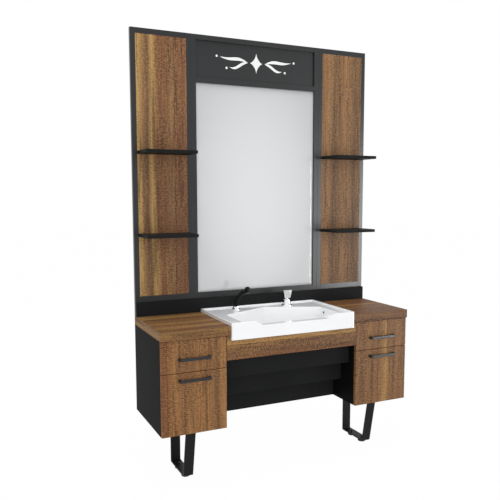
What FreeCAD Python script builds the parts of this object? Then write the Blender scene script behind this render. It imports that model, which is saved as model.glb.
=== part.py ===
import FreeCAD
import Part
import Sketcher
import os

# Wall-side barber station: framed wall panels with a mirror and shelves, a counter with an apron basin,
# two drawer pedestals on bent flat-bar legs and a stepped cover over the waste pipe.
# Frame: X along the wall, +Y towards the wall, Z up from the floor. Millimetres.
# The origin lies on the floor, halfway along X and halfway between the drawer handles and the wall.

V = FreeCAD.Vector
doc = FreeCAD.newDocument("barber_station")
sheet = doc.addObject("Spreadsheet::Sheet", "Sizes")

SIZES = {
    # whole station
    "station_width": (1600, "across both pedestals and the wall frames"),
    "station_height": (2555, "floor to the top of the wall frames"),
    "counter_top": (890, "floor to the top of the wooden counter boards"),
    "pedestal_bottom": (317, "floor to the underside of the pedestals"),
    # wall frames
    "frame_depth": (22, "stiles, rails and infill panels, front to back"),
    "back_board": (3, "hardboard that closes each module's back"),
    "side_module": (362, "width of each outer module"),
    "side_stile": (29, "upright of an outer module"),
    "side_top_rail": (32, "top rail of an outer module"),
    "centre_stile": (31, "upright of the mirror module"),
    "centre_top_rail": (30, "top rail of the mirror module"),
    "middle_rail": (33, "rail between the mirror and the header panel"),
    "header_height": (216, "height of the header panel"),
    "rail_show": (36, "height of the bottom rails above the backsplash"),
    "frame_edge": (1, "rounding of the frame boards' front edges"),
    "panel_setback": (12, "frame front to the mirror and the header panel"),
    "glass_thickness": (4, "mirror glass"),
    "bevel_width": (14, "bevel round the mirror, across"),
    "bevel_depth": (1.2, "bevel round the mirror, into the glass"),
    "hanger_length": (70, "steel keyhole hanger, along X"),
    "hanger_height": (24, "steel keyhole hanger, along Z"),
    "hanger_hole": (9, "round hole of the keyhole that a screw head passes"),
    "hanger_slot": (4.5, "slot of the keyhole, across"),
    "hanger_lift": (6.5, "hole's centre to the slot's end, upwards"),
    "hanger_pocket": (12, "depth of the screw-head pocket behind a hanger"),
    "low_hanger_height": (60, "lower hangers, above the counter boards"),
    # shelves
    "shelf_depth": (192, "shelf, front to back"),
    "shelf_thickness": (18, "shelf board"),
    "shelf_corner": (5, "radius of the shelf's front corners"),
    "upper_shelf_top": (1861, "floor to the top of the upper shelves"),
    "lower_shelf_top": (1381, "floor to the top of the lower shelves"),
    "pin_spacing": (200, "between the two pins of one shelf"),
    "pin_diameter": (12, "steel shelf pin"),
    "pin_reach": (110, "pin length inside the shelf"),
    "pin_head": (30, "head of the pin, let into the panel's back"),
    "pin_head_thickness": (3, "head of the pin"),
    "pin_clearance": (0.1, "radial clearance round a pin"),
    # counter
    "counter_thickness": (50, "wooden counter boards"),
    "counter_depth": (490, "counter boards in front of the backsplash"),
    "sink_fit": (0.5, "between the basin's sides and the counter boards"),
    "counter_edge": (2, "chamfer of the counter boards' front edges"),
    "splash_height": (83, "backsplash above the counter"),
    "splash_thickness": (18, "backsplash board"),
    "stretcher_height": (100, "board that joins the pedestals at the wall"),
    # basin
    "sink_inset": (24, "pedestals' inner faces to the basin's sides"),
    "sink_height": (97, "outer skirt of the basin"),
    "sink_rise": (20, "top of the basin above the counter"),
    "sink_proud": (9, "basin front ahead of the counter boards"),
    "sink_corner": (8, "radius of the basin's upright corners"),
    "sink_edge": (3, "rounding of the lip's edges"),
    "sink_lip": (12, "raised lip round the deck"),
    "sink_deck_drop": (8, "deck below the lip"),
    "sink_deck": (14, "thickness of the deck"),
    "sink_skirt": (16, "thickness of the side and back skirts"),
    "sink_front_wall": (31, "front rim, from the front face to the bowl"),
    "sink_front_solid": (46, "height of the solid top of the front rim"),
    "bowl_side": (80, "basin's side to the bowl's side edge"),
    "bowl_shoulder": (273, "basin front to the shoulders of the bowl"),
    "bowl_apex": (420, "basin front to the rear point of the bowl"),
    "bowl_depth": (125, "deck to the bowl floor"),
    "bowl_wall": (12, "thickness of the bowl"),
    "bowl_side_slope": (14, "how far the side walls come in down to the floor"),
    "bowl_back_slope": (14, "how far the rear walls come in down to the floor"),
    "bowl_front_slope": (34, "how far the front wall comes in down to the floor"),
    "bowl_corner": (22, "radius of the bowl's inner corners"),
    "bowl_rim_edge": (4, "rounding of the bowl's rim"),
    "notch_depth": (26, "dip of the front rim"),
    "notch_side": (144, "basin's side to the notch's edge at the rim"),
    "notch_run": (42, "how far the notch's edge comes in down to its sill"),
    "waste_offset": (222, "basin front to the waste"),
    "waste_hole": (46, "hole in the bowl floor"),
    "waste_recess": (72, "recess round the waste hole"),
    "waste_recess_depth": (3, "depth of that recess"),
    "overflow_hole": (24, "overflow in the bowl's right wall"),
    "overflow_offset": (221, "basin front to the overflow"),
    "overflow_drop": (28, "deck to the overflow's centre"),
    "overflow_trim": (32, "rim of the overflow's trim"),
    "overflow_trim_thickness": (2.5, "rim of the overflow's trim"),
    "overflow_sleeve": (22, "trim inside the overflow"),
    "overflow_bore": (17, "opening of the overflow's trim"),
    "rear_fittings": (419, "basin front to the tap and the spray"),
    "tap_offset": (158, "centre of the basin to the tap, along X"),
    "tap_hole": (35, "tap hole in the deck"),
    "spray_offset": (196, "centre of the basin to the spray, along X"),
    "spray_hole": (30, "spray hole in the deck"),
    # waste and trap
    "waste_flange": (68, "waste flange"),
    "waste_tube": (45, "waste tube, outside"),
    "waste_bore": (38, "waste tube, inside"),
    "waste_length": (50, "waste tube below the bowl floor"),
    "strainer_hole": (8, "each hole of the strainer"),
    "trap_body": (72, "bottle of the trap, outside"),
    "trap_height": (100, "bottle of the trap"),
    "trap_bore": (60, "bottle of the trap, inside"),
    "pipe_diameter": (40, "waste pipe to the wall"),
    "pipe_bore": (36, "waste pipe, inside"),
    "outlet_length": (46, "outlet of the trap with its coupling nut"),
    # basin supports and apron
    "angle_leg": (40, "each leg of the steel angles under the basin"),
    "angle_wall": (4, "thickness of the steel angles"),
    "angle_length": (420, "steel angles, front to back"),
    "angle_setback": (12, "apron to the front end of an angle"),
    "apron_height": (114, "wooden apron below the basin"),
    "apron_gap": (1.5, "between the apron and each pedestal"),
    "apron_drop": (2, "basin to the apron below it"),
    "cleat": (30, "battens behind the apron"),
    # stepped cover
    "cover_setback": (77, "drawer fronts to the cover's first face"),
    "cover_board": (16, "boards of the stepped cover"),
    "step_height": (129, "each lower step of the cover"),
    "step_depth": (88, "each step back towards the wall"),
    "cover_top": (755, "floor to the top of the cover"),
    # pedestals
    "pedestal_width": (376, "each pedestal"),
    "board": (18, "carcass boards"),
    "carcass_back": (8, "back board of a pedestal"),
    "back_inset": (20, "wall to the back board"),
    "groove_depth": (8, "groove in the sides that takes the back board"),
    "top_rail_depth": (80, "top rails of a pedestal, front to back"),
    # drawers
    "front_thickness": (20, "drawer fronts and apron"),
    "front_setback": (10, "counter front to the drawer fronts"),
    "front_gap": (3, "between the carcass and the closed fronts"),
    "front_reveal": (1.5, "gap at each end of a front"),
    "front_split": (3, "gap above, below and between the fronts"),
    "front_edge": (1.5, "rounding of the fronts' edges"),
    "upper_front_height": (175, "upper drawer front"),
    "box_board": (12, "sides and ends of a drawer box"),
    "box_bottom": (6, "bottom of a drawer box"),
    "upper_box_base": (690, "floor to the upper box's side boards"),
    "upper_box_height": (110, "upper box's side boards"),
    "lower_box_base": (352, "floor to the lower box's side boards"),
    "lower_box_height": (240, "lower box's side boards"),
    "upper_runner": (722, "floor to the upper runners' centre line"),
    "lower_runner": (400, "floor to the lower runners' centre line"),
    "runner_length": (450, "drawer runners and drawer boxes"),
    "runner_height": (45, "fixed member of a runner"),
    "runner_space": (13, "between a drawer box and the carcass"),
    "runner_wall": (1.5, "sheet of the runners"),
    "runner_play": (0.4, "between the two members of a runner"),
    "handle_length": (182, "drawer handle"),
    "handle_bar": (12, "bar of a handle, front to back"),
    "handle_rise": (15, "bar of a handle, upwards"),
    "handle_post": (12, "feet of a handle, along X"),
    "handle_standoff": (26, "drawer front to the bar's centre line"),
    "handle_bend": (8, "outer bends of a handle"),
    "handle_inner_bend": (4, "inner bends of a handle"),
    "handle_edge": (2, "rounding of a handle's long edges"),
    "upper_handle_height": (736, "floor to the upper handles"),
    "lower_handle_height": (620, "floor to the lower handles"),
    # legs
    "leg_width": (58, "flat bar of the legs"),
    "leg_inward": (4, "middle of a pedestal to its leg, towards the basin"),
    "leg_bar": (8, "thickness of that bar"),
    "leg_length": (236, "foot of a leg, front to back"),
    "leg_lean": (61, "how far the front upright leans forward at its top"),
    "leg_setback": (147, "wall to the rear of a leg"),
    "leg_bend": (3, "inside radius of the bends"),
    "foot_height": (15, "floor to the underside of the legs"),
    "foot_pad": (50, "pad of a levelling foot"),
    "foot_pad_thickness": (9, "pad of a levelling foot"),
    "foot_stud": (10, "stud of a levelling foot"),
    "foot_stud_height": (36, "pad's underside to the top of the stud"),
    "foot_clearance": (0.08, "radial clearance of the stud in the leg"),
    "front_foot_inset": (48, "front of a leg to its levelling foot"),
    "rear_foot_inset": (72, "rear of a leg to its levelling foot"),
    "screw_shank": (6, "screws that hold the legs"),
    "screw_head": (12, "heads of those screws"),
    "screw_head_height": (3.5, "heads of those screws"),
    "screw_length": (20, "shank of those screws"),
    "screw_inset": (40, "end of the leg's top bar to a screw"),
    "screw_spacing": (28, "between two screws, along X"),
    # tap
    "tap_base": (70, "foot of the tap body"),
    "tap_base_height": (4, "foot of the tap body"),
    "tap_shoulder": (56, "tap body above its foot"),
    "tap_waist": (50, "tap body halfway up"),
    "tap_neck": (44, "tap body at its top"),
    "tap_height": (43, "deck to the top of the tap body"),
    "tap_shank": (33, "threaded shank below the deck"),
    "tap_shank_length": (45, "shank below the deck's top"),
    "stem_diameter": (22, "turning stem of the tap"),
    "stem_clearance": (0.06, "radial clearance of the stem"),
    "stem_depth": (22, "stem inside the body"),
    "pivot_height": (58, "deck to the lever's pivot"),
    "pivot_pin": (5, "cross pin of the lever"),
    "pivot_pin_length": (30, "cross pin of the lever"),
    "pivot_clearance": (0.06, "radial clearance of the cross pin"),
    "lever_gap": (8, "below the pivot to the lever's underside"),
    "lever_foot": (40, "lever at its underside, along Y"),
    "lever_waist": (40, "lever at its underside, along X"),
    "lever_height": (48, "lever, from its underside to its top"),
    "lever_top_width": (61, "lever at its top, along X"),
    "lever_top_depth": (24, "lever at its top, along Y"),
    "lever_lean": (12, "how far the lever's top lies forward"),
    "lever_slot_play": (0.4, "between the stem and the lever's slot"),
    "lever_slot_depth": (34, "lever's slot, front to back"),
    "lever_slot_height": (20, "lever's slot, upwards"),
    "lever_corner": (8, "rounding of the lever's upright corners"),
    # hand spray
    "holder_flange": (50, "foot of the spray holder"),
    "holder_top": (34, "mouth of the spray holder"),
    "holder_height": (20, "deck to the holder's mouth"),
    "holder_shank": (29, "holder below the deck"),
    "holder_shank_length": (40, "holder below the deck's top"),
    "spray_stem": (25, "stem of the spray"),
    "spray_clearance": (0.08, "radial clearance of the stem in its holder"),
    "spray_stem_depth": (38, "stem below the holder's mouth"),
    "spray_bend": (110, "radius of the spray's curved grip"),
    "spray_turn": (62, "angle of the curved grip, degrees"),
    "spray_grip": (28, "grip at the head's end"),
    "spray_head": (34, "head of the spray"),
    "spray_head_length": (38, "head, back to nozzle"),
    "nozzle_reach": (80, "stem to the nozzle's centre, in plan"),
    "nozzle_height": (108, "deck to the nozzle's centre"),
    "nozzle_seat": (2, "recess of the nozzle plate"),
    "nozzle_face": (24, "nozzle plate"),
    "nozzle_thickness": (3, "nozzle plate"),
    "spray_swing": (-47, "direction of the grip in plan, degrees from +X"),
}

for row, (alias, (number, meaning)) in enumerate(SIZES.items(), start=1):
    sheet.set("A%d" % row, meaning)
    sheet.set("B%d" % row, str(number))
    sheet.setAlias("B%d" % row, alias)

# Places that several pieces share, each worked out from the sheet.
PLACES = {
    "half_width": "station_width / 2",
    "module_depth": "frame_depth + back_board",
    "handle_reach": "handle_standoff + handle_bar / 2 - front_setback",
    "wall": "( module_depth + splash_thickness + counter_depth + handle_reach ) / 2",
    "frame_front": "wall - module_depth",
    "frame_back": "wall - back_board",
    "splash_front": "frame_front - splash_thickness",
    "counter_front": "splash_front - counter_depth",
    "sink_front": "counter_front - sink_proud",
    "front_face": "counter_front + front_setback",
    "front_rear": "front_face + front_thickness",
    "carcass_front": "front_rear + front_gap",
    "frame_rise": "station_height - counter_top",
    "bottom_rail": "splash_height + rail_show",
    "infill_bottom": "counter_top + bottom_rail",
    "infill_width": "side_module - 2 * side_stile",
    "infill_left": "side_stile - half_width",
    "infill_height": "frame_rise - bottom_rail - side_top_rail",
    "centre_module": "station_width - 2 * side_module",
    "glass_width": "centre_module - 2 * centre_stile",
    "header_bottom": "station_height - centre_top_rail - header_height",
    "mirror_height": "header_bottom - middle_rail - infill_bottom",
    "glass_front": "frame_front + panel_setback",
    "panel_space": "( frame_depth - panel_setback )",
    "counter_base": "counter_top - counter_thickness",
    "carcass_height": "counter_base - pedestal_bottom",
    "carcass_depth": "wall - carcass_front",
    "inner_side": "half_width - pedestal_width",
    "pedestal_centre": "half_width - pedestal_width / 2",
    "clear_width": "pedestal_width - 2 * board",
    "box_width": "clear_width - 2 * runner_space",
    "back_front": "wall - back_inset - carcass_back",
    "lower_front_height": "carcass_height - upper_front_height - 2 * front_split",
    "upper_front_base": "pedestal_bottom + lower_front_height + front_split",
    "sink_width": "( 2 * inner_side - 2 * sink_inset )",
    "counter_length": "half_width - sink_width / 2 - sink_fit",
    "sink_depth": "sink_proud + counter_depth",
    "bowl_half_width": "sink_width / 2 - bowl_side",
    "notch_half_top": "sink_width / 2 - notch_side",
    "notch_half_bottom": "notch_half_top - notch_run",
    "sink_top": "counter_top + sink_rise",
    "sink_base": "sink_top - sink_height",
    "deck_top": "sink_top - sink_deck_drop",
    "bowl_floor": "deck_top - bowl_depth",
    "deck_level": "sink_height - sink_deck_drop",
    "tap_y": "sink_front + rear_fittings",
    "waste_y": "sink_front + waste_offset",
    "waste_foot": "bowl_floor - waste_length",
    "trap_top": "waste_foot + 12",
    "trap_base": "trap_top - 34 - trap_height",
    "pipe_level": "trap_top - 62",
    "leg_rear": "wall - leg_setback",
    "leg_centre": "pedestal_centre - leg_inward",
    "leg_rise": "pedestal_bottom - foot_height",
    "leg_slant": "leg_bar * sqrt( 1 + ( leg_lean / leg_rise ) ^ 2 )",
    "tap_pivot": "deck_top + pivot_height",
}

nodes = []


def formula(text):
    """Turn a formula in plain names into one that points at the sheet's cells."""
    words = []
    for word in text.split():
        if word in PLACES:
            words.append("( " + formula(PLACES[word]) + " )")
        elif word in SIZES:
            words.append("Sizes." + word)
        else:
            words.append(word)
    return " ".join(words)


def bind(item, **properties):
    """Bind properties of an object to formulas."""
    for name, text in properties.items():
        item.setExpression(name, formula(text))
    return item


def place(item, x="0", y="0", z="0"):
    """Bind an object's position to three formulas."""
    item.setExpression("Placement.Base.x", formula(x))
    item.setExpression("Placement.Base.y", formula(y))
    item.setExpression("Placement.Base.z", formula(z))
    return item


def node(item, name):
    """Name a finished sub-part, which is written to a file of that name."""
    item.Label = name
    nodes.append(item)
    return item


def block(name, at, size):
    """A rectangular board: its low corner and its three sizes are formulas."""
    item = doc.addObject("Part::Box", name)
    bind(item, Length=size[0], Width=size[1], Height=size[2])
    return place(item, *at)


def rod(name, at, radius, length, turn=(0, 0, 1, 0)):
    """A round bar from a point along Z, turned by an axis and an angle."""
    item = doc.addObject("Part::Cylinder", name)
    bind(item, Radius=radius, Height=length)
    item.Placement = FreeCAD.Placement(V(0, 0, 0), FreeCAD.Rotation(V(*turn[:3]), turn[3]))
    return place(item, *at)


def group(name, items):
    """Several separate solids that share one node."""
    item = doc.addObject("Part::Compound", name)
    item.Links = items
    return item


def less(name, base, *tools):
    """A solid with the tools' volume taken away."""
    item = doc.addObject("Part::Cut", name)
    item.Base = base
    item.Tool = tools[0] if len(tools) == 1 else group(name + "_tools", list(tools))
    return item


def joined(name, *items):
    """Solids fused into one."""
    item = doc.addObject("Part::MultiFuse", name)
    item.Shapes = list(items)
    return item


def opposite(name, source):
    """The same piece on the other side of the station's middle plane."""
    item = doc.addObject("Part::Mirroring", name)
    item.Source = source
    item.Normal = V(1, 0, 0)
    return item


def rounded(name, source, radius, picks):
    """Round the edges of a solid that picks accepts; it is given the edge and the solid's box."""
    doc.recompute()
    item = doc.addObject("Part::Fillet", name)
    item.Base = source
    box = source.Shape.BoundBox
    chosen = [index for index, edge in enumerate(source.Shape.Edges, start=1) if picks(edge, box)]
    value = float(sheet.get(radius))
    item.Edges = [(index, value, value) for index in chosen]
    return item


# Sketches and PartDesign features

def body(name, x="0", y="0", z="0", turn=(0, 0, 1, 0)):
    """An empty PartDesign body at a place."""
    item = doc.addObject("PartDesign::Body", name)
    item.Placement = FreeCAD.Placement(V(0, 0, 0), FreeCAD.Rotation(V(*turn[:3]), turn[3]))
    return place(item, x, y, z)


def sketch(owner, plane, name, height="0"):
    """A sketch on one of the body's own planes, lifted along that plane's normal."""
    item = owner.newObject("Sketcher::SketchObject", name)
    support = [feature for feature in owner.Origin.OriginFeatures if feature.Role == plane][0]
    item.AttachmentSupport = (support, [""])
    item.MapMode = "FlatFace"
    item.setExpression("AttachmentOffset.Base.z", formula(height))
    return item


def outline(item, corners):
    """A closed outline through corners given as pairs of formulas."""
    first = item.GeometryCount
    count = len(corners)
    turns = [FreeCAD.Rotation(V(0, 0, 1), 360.0 * index / count) for index in range(count)]
    start = [turn.multVec(V(100, 0, 0)) for turn in turns]
    item.addGeometry([Part.LineSegment(start[index], start[(index + 1) % count]) for index in range(count)])
    item.addConstraint([
        Sketcher.Constraint("Coincident", first + index, 2, first + (index + 1) % count, 1)
        for index in range(count)])
    for index, (x, y) in enumerate(corners):
        pin_point(item, first + index, 1, x, y)


def circle(item, x, y, diameter):
    """A circle in a sketch, by formulas for its centre and diameter."""
    index = item.addGeometry(Part.Circle(V(10, 10, 0), V(0, 0, 1), 5))
    pin_point(item, index, 3, x, y)
    number = item.addConstraint(Sketcher.Constraint("Diameter", index, 10))
    item.setExpression("Constraints[%d]" % number, formula(diameter))
    return index


def pin_point(item, geometry, end, x, y):
    """Bind a sketch point to formulas for its two coordinates."""
    for kind, text, axis in (("DistanceX", x, -2), ("DistanceY", y, -1)):
        if text == "0":
            item.addConstraint(Sketcher.Constraint("PointOnObject", geometry, end, axis))
        else:
            number = item.addConstraint(Sketcher.Constraint(kind, -1, 1, geometry, end, 10))
            item.setExpression("Constraints[%d]" % number, formula(text))


def pad(owner, profile, length, name, reverse=False):
    """Extrude a sketch by a formula."""
    item = owner.newObject("PartDesign::Pad", name)
    item.Profile = profile
    item.Reversed = reverse
    bind(item, Length=length)
    return item


def pocket(owner, profile, depth, name, reverse=False):
    """Cut a sketch into the body by a formula, and make sure that it cuts."""
    doc.recompute()
    before = owner.Shape.Volume
    item = owner.newObject("PartDesign::Pocket", name)
    item.Profile = profile
    item.Reversed = reverse
    bind(item, Length=depth)
    doc.recompute()
    if not owner.Shape.Volume < before:
        raise RuntimeError(name + " cuts nothing")
    return item


def revolve(owner, profile, name):
    """Turn a sketch on the body's XZ plane about the body's Z axis."""
    item = owner.newObject("PartDesign::Revolution", name)
    item.Profile = profile
    item.ReferenceAxis = (profile, ["V_Axis"])
    item.Angle = 360
    return item


def loft(owner, kind, name, first, *others):
    """A straight-sided loft through sketches, added or cut away."""
    item = owner.newObject("PartDesign::" + kind, name)
    item.Profile = first
    item.Sections = list(others)
    item.Ruled = True
    return item


def fillet(owner, radius, picks, name):
    """Round the edges of the body's last feature that picks accepts."""
    doc.recompute()
    base = owner.Tip
    chosen = ["Edge%d" % index for index, edge in enumerate(base.Shape.Edges, start=1) if picks(edge)]
    item = owner.newObject("PartDesign::Fillet", name)
    item.Base = (base, chosen)
    bind(item, Radius=radius)
    return item


def ends(edge):
    """The two end points of an edge."""
    return edge.Vertexes[0].Point, edge.Vertexes[-1].Point


def upright(edge):
    """True for a straight edge that runs along Z."""
    a, b = ends(edge)
    return abs(a.x - b.x) < 0.01 and abs(a.y - b.y) < 0.01 and abs(a.z - b.z) > 0.01


def at_front(edge, box):
    """True for an edge that bounds a solid's front face."""
    return edge.BoundBox.YMax < box.YMin + 0.1


def turned(name, at, profile, plane_turn=(0, 0, 1, 0)):
    """A turned piece: profile corners are radius and height formulas."""
    owner = body(name, *at, turn=plane_turn)
    section = sketch(owner, "XZ_Plane", name + "_section")
    outline(section, profile)
    revolve(owner, section, name + "_turning")
    return owner


# Wall frames: each module has full-height stiles with the rails between them

def module(name, left, width, stile, rails):
    """One wall frame: two stiles and the rails between them, each rail a height and a place."""
    inner = "( " + left + " ) + " + stile
    far = "( " + left + " ) + " + width + " - " + stile
    span = width + " - 2 * " + stile
    boards = [
        block(name + "_left_stile", (left, "frame_front", "counter_top"),
              (stile, "frame_depth", "frame_rise")),
        block(name + "_right_stile", (far, "frame_front", "counter_top"),
              (stile, "frame_depth", "frame_rise")),
    ]
    for label, base, height in rails:
        rail = block(name + label, (inner, "frame_front", base), (span, "frame_depth", height))
        boards.append(rail)
    return [rounded(board.Name + "_eased", board, "frame_edge", at_front) for board in boards]


def hanger_pocket(name, z):
    """The pocket behind a keyhole hanger, for the head of the wall screw."""
    return block(
        name,
        ("infill_left + infill_width / 2 - hanger_hole", "frame_back - hanger_pocket", z + " - hanger_hole"),
        ("2 * hanger_hole", "hanger_pocket", "2 * hanger_hole + hanger_lift / 2"))


UPPER_HANGER = "station_height - side_top_rail / 2"
LOWER_HANGER = "counter_top + low_hanger_height"

side_boards = module(
    "left_frame", "0 - half_width", "side_module", "side_stile",
    (("_bottom_rail", "counter_top", "bottom_rail"),
     ("_top_rail", "station_height - side_top_rail", "side_top_rail")))
low_pocket = hanger_pocket("low_hanger_pocket", LOWER_HANGER)
top_pocket = hanger_pocket("top_hanger_pocket", UPPER_HANGER)
side_boards[2] = less("left_frame_low_pocketed", side_boards[2], low_pocket)
side_boards[3] = less("left_frame_top_pocketed", side_boards[3], top_pocket)
left_frame = node(group("left_frame_boards", side_boards), "left_frame")
node(opposite("right_frame_boards", left_frame), "right_frame")

node(group("centre_frame_boards", module(
    "centre_frame", "side_module - half_width", "centre_module", "centre_stile",
    (("_bottom_rail", "counter_top", "bottom_rail"),
     ("_middle_rail", "header_bottom - middle_rail", "middle_rail"),
     ("_top_rail", "station_height - centre_top_rail", "centre_top_rail")))), "centre_frame")

CENTRE_LEFT = "side_module - half_width + centre_stile"


def glass_outline(name, height, inset):
    """A sketch of the glass's outline at a height above its back, drawn in by an inset."""
    plan = sketch(glass, "XZ_Plane", name, height)
    far_x = "glass_width - " + inset
    far_z = "mirror_height - " + inset
    outline(plan, ((inset, inset), (far_x, inset), (far_x, far_z), (inset, far_z)))
    return plan


glass = body("mirror_glass", CENTRE_LEFT, "glass_front + glass_thickness", "infill_bottom")
pad(glass, glass_outline("glass_plan", "0", "0"), "glass_thickness - bevel_depth", "glass_sheet")
loft(glass, "AdditiveLoft", "glass_bevel",
     glass_outline("bevel_foot", "glass_thickness - bevel_depth", "0"),
     glass_outline("bevel_top", "glass_thickness", "bevel_width"))
node(glass, "mirror")
node(block("header_board", (CENTRE_LEFT, "glass_front", "header_bottom"),
           ("glass_width", "panel_space", "header_height")), "header_panel")


# Keyhole hangers, let into the back boards of the outer modules

def hanger(name, z):
    """A steel plate with a keyhole, flush with the back board."""
    owner = body(name, "infill_left + infill_width / 2 - hanger_length / 2", "wall",
                 z + " - hanger_height / 2")
    plate = sketch(owner, "XZ_Plane", name + "_plate")
    outline(plate, (
        ("0", "0"), ("hanger_length", "0"), ("hanger_length", "hanger_height"), ("0", "hanger_height")))
    pad(owner, plate, "back_board", name + "_pad")
    hole = sketch(owner, "XZ_Plane", name + "_hole")
    circle(hole, "hanger_length / 2", "hanger_height / 2", "hanger_hole")
    pocket(owner, hole, "back_board", name + "_cut", reverse=True)
    slot = sketch(owner, "XZ_Plane", name + "_slot")
    left = "hanger_length / 2 - hanger_slot / 2"
    right = "hanger_length / 2 + hanger_slot / 2"
    top = "hanger_height / 2 + hanger_lift"
    outline(slot, ((left, "hanger_height / 2"), (right, "hanger_height / 2"), (right, top), (left, top)))
    pocket(owner, slot, "back_board", name + "_slotting", reverse=True)
    slot_end = sketch(owner, "XZ_Plane", name + "_slot_end")
    circle(slot_end, "hanger_length / 2", top, "hanger_slot")
    pocket(owner, slot_end, "back_board", name + "_slot_ending", reverse=True)
    return owner


def hanger_seat(name, z):
    """The cut-out of the back board round one hanger."""
    return block(
        name,
        ("infill_left + infill_width / 2 - hanger_length / 2", "frame_back", z + " - hanger_height / 2"),
        ("hanger_length", "back_board", "hanger_height"))


side_back = less(
    "left_back_board",
    block("left_back_sheet", ("0 - half_width", "frame_back", "counter_top"),
          ("side_module", "back_board", "frame_rise")),
    hanger_seat("top_hanger_seat", UPPER_HANGER), hanger_seat("low_hanger_seat", LOWER_HANGER))
centre_back = block("centre_back_board", ("side_module - half_width", "frame_back", "counter_top"),
                    ("centre_module", "back_board", "frame_rise"))
mirror_backing = block("mirror_backing", (CENTRE_LEFT, "glass_front + glass_thickness", "infill_bottom"),
                       ("glass_width", "panel_space - glass_thickness", "mirror_height"))
node(group("back_sheets", [side_back, centre_back, opposite("right_back_board", side_back), mirror_backing]),
     "back_boards")

hangers = [hanger("upper_hanger", UPPER_HANGER), hanger("lower_hanger", LOWER_HANGER)]
hangers = hangers + [opposite(item.Name + "_right", item) for item in hangers]
node(group("hangers", hangers), "hanger_plates")


# Shelves on steel pins that pass through the infill panels

SHELF_TOPS = (("upper", "upper_shelf_top"), ("lower", "lower_shelf_top"))
PIN_SIDES = (("near", "0 - pin_spacing / 2"), ("far", "pin_spacing / 2"))
BACKWARDS = (1, 0, 0, -90)


def pin_holes(name, top, start, diameter, length):
    """Two round cuts along +Y at the pins of one shelf."""
    return [
        rod(name + side, ("infill_left + infill_width / 2 + " + shift, start, top + " - shelf_thickness / 2"),
            diameter + " / 2", length, BACKWARDS)
        for side, shift in PIN_SIDES]


panel_holes = []
shelf_pins = []
shelves = []
for level, top in SHELF_TOPS:
    panel_holes = panel_holes + pin_holes(
        level + "_panel_hole_", top, "frame_front", "( pin_diameter + 2 * pin_clearance )", "frame_depth")
    panel_holes = panel_holes + pin_holes(
        level + "_head_seat_", top, "frame_back - pin_head_thickness", "( pin_head + 2 * pin_clearance )",
        "pin_head_thickness")
    pin_rods = pin_holes(level + "_pin_rod_", top, "frame_front - pin_reach", "pin_diameter",
                         "pin_reach + frame_depth")
    pin_heads = pin_holes(level + "_pin_head_", top, "frame_back - pin_head_thickness", "pin_head",
                          "pin_head_thickness")
    for index in range(2):
        shelf_pins.append(joined("%s_pin_%d" % (level, index), pin_rods[index], pin_heads[index]))
    board = body(level + "_shelf", "infill_left", "frame_front - shelf_depth", top + " - shelf_thickness")
    plan = sketch(board, "XY_Plane", level + "_shelf_plan")
    outline(plan, (("0", "0"), ("infill_width", "0"), ("infill_width", "shelf_depth"), ("0", "shelf_depth")))
    pad(board, plan, "shelf_thickness", level + "_shelf_pad")
    fillet(board, "shelf_corner", lambda edge: upright(edge) and edge.Vertexes[0].Point.y < 1,
           level + "_shelf_corners")
    bores = sketch(board, "XZ_Plane", level + "_shelf_bores", "0 - shelf_depth")
    for side, shift in PIN_SIDES:
        circle(bores, "infill_width / 2 + " + shift, "shelf_thickness / 2",
               "pin_diameter + 2 * pin_clearance")
    pocket(board, bores, "pin_reach + 2 * pin_clearance", level + "_shelf_boring", reverse=True)
    shelves.append(board)

left_panel = node(less(
    "left_infill",
    block("left_infill_board", ("infill_left", "frame_front", "infill_bottom"),
          ("infill_width", "frame_depth", "infill_height")),
    *panel_holes), "left_panel")
node(opposite("right_infill", left_panel), "right_panel")
left_shelves = node(group("left_shelf_pair", shelves), "left_shelves")
node(opposite("right_shelf_pair", left_shelves), "right_shelves")
right_pins = [opposite(item.Name + "_right", item) for item in shelf_pins]
node(group("pin_set", shelf_pins + right_pins), "shelf_pins")


# Counter boards, backsplash and the boards at the wall between the pedestals

counter = rounded(
    "left_counter_board",
    block("left_counter_blank", ("0 - half_width", "counter_front", "counter_base"),
          ("counter_length", "wall - ( counter_front )", "counter_thickness")),
    "counter_edge", at_front)
left_countertop = node(counter, "left_countertop")
node(opposite("right_counter_board", left_countertop), "right_countertop")
node(block("splash_board", ("0 - half_width", "splash_front", "counter_top"),
           ("station_width", "splash_thickness", "splash_height")), "backsplash")

COUNTER_GAP = "station_width - 2 * counter_length"
node(group("wall_boards", [
    block("bridge_board", ("counter_length - half_width", "splash_front", "counter_base"),
          (COUNTER_GAP, "module_depth + splash_thickness", "counter_thickness")),
    block("stretcher_board", ("0 - ( inner_side )", "wall - board", "counter_base - stretcher_height"),
          ("2 * inner_side", "board", "stretcher_height")),
]), "rear_rails")


# Basin: a slab with a lipped deck, a hollow underside and a five-sided bowl whose front rim dips

def bowl_plan(item, grow, side_in="0", back_in="0", front_in="0"):
    """The bowl's five-sided outline, grown by a wall and drawn in by each wall's slope."""
    half = "( bowl_half_width + %s - ( %s ) )" % (grow, side_in)
    middle = "sink_width / 2"
    front = "sink_front_wall - %s + %s" % (grow, front_in)
    apex = "bowl_apex + 1.1 * %s - ( %s )" % (grow, back_in)
    shoulder = apex + " - ( bowl_apex - bowl_shoulder ) * %s / bowl_half_width" % half
    outline(item, (
        (middle + " - " + half, front), (middle + " + " + half, front), (middle + " + " + half, shoulder),
        (middle, apex), (middle + " - " + half, shoulder)))


def inset_box(item, side, front, back):
    """A rectangle inside the basin's outline."""
    outline(item, (
        (side, front), ("sink_width - " + side, front),
        ("sink_width - " + side, "sink_depth - " + back), (side, "sink_depth - " + back)))


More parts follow.
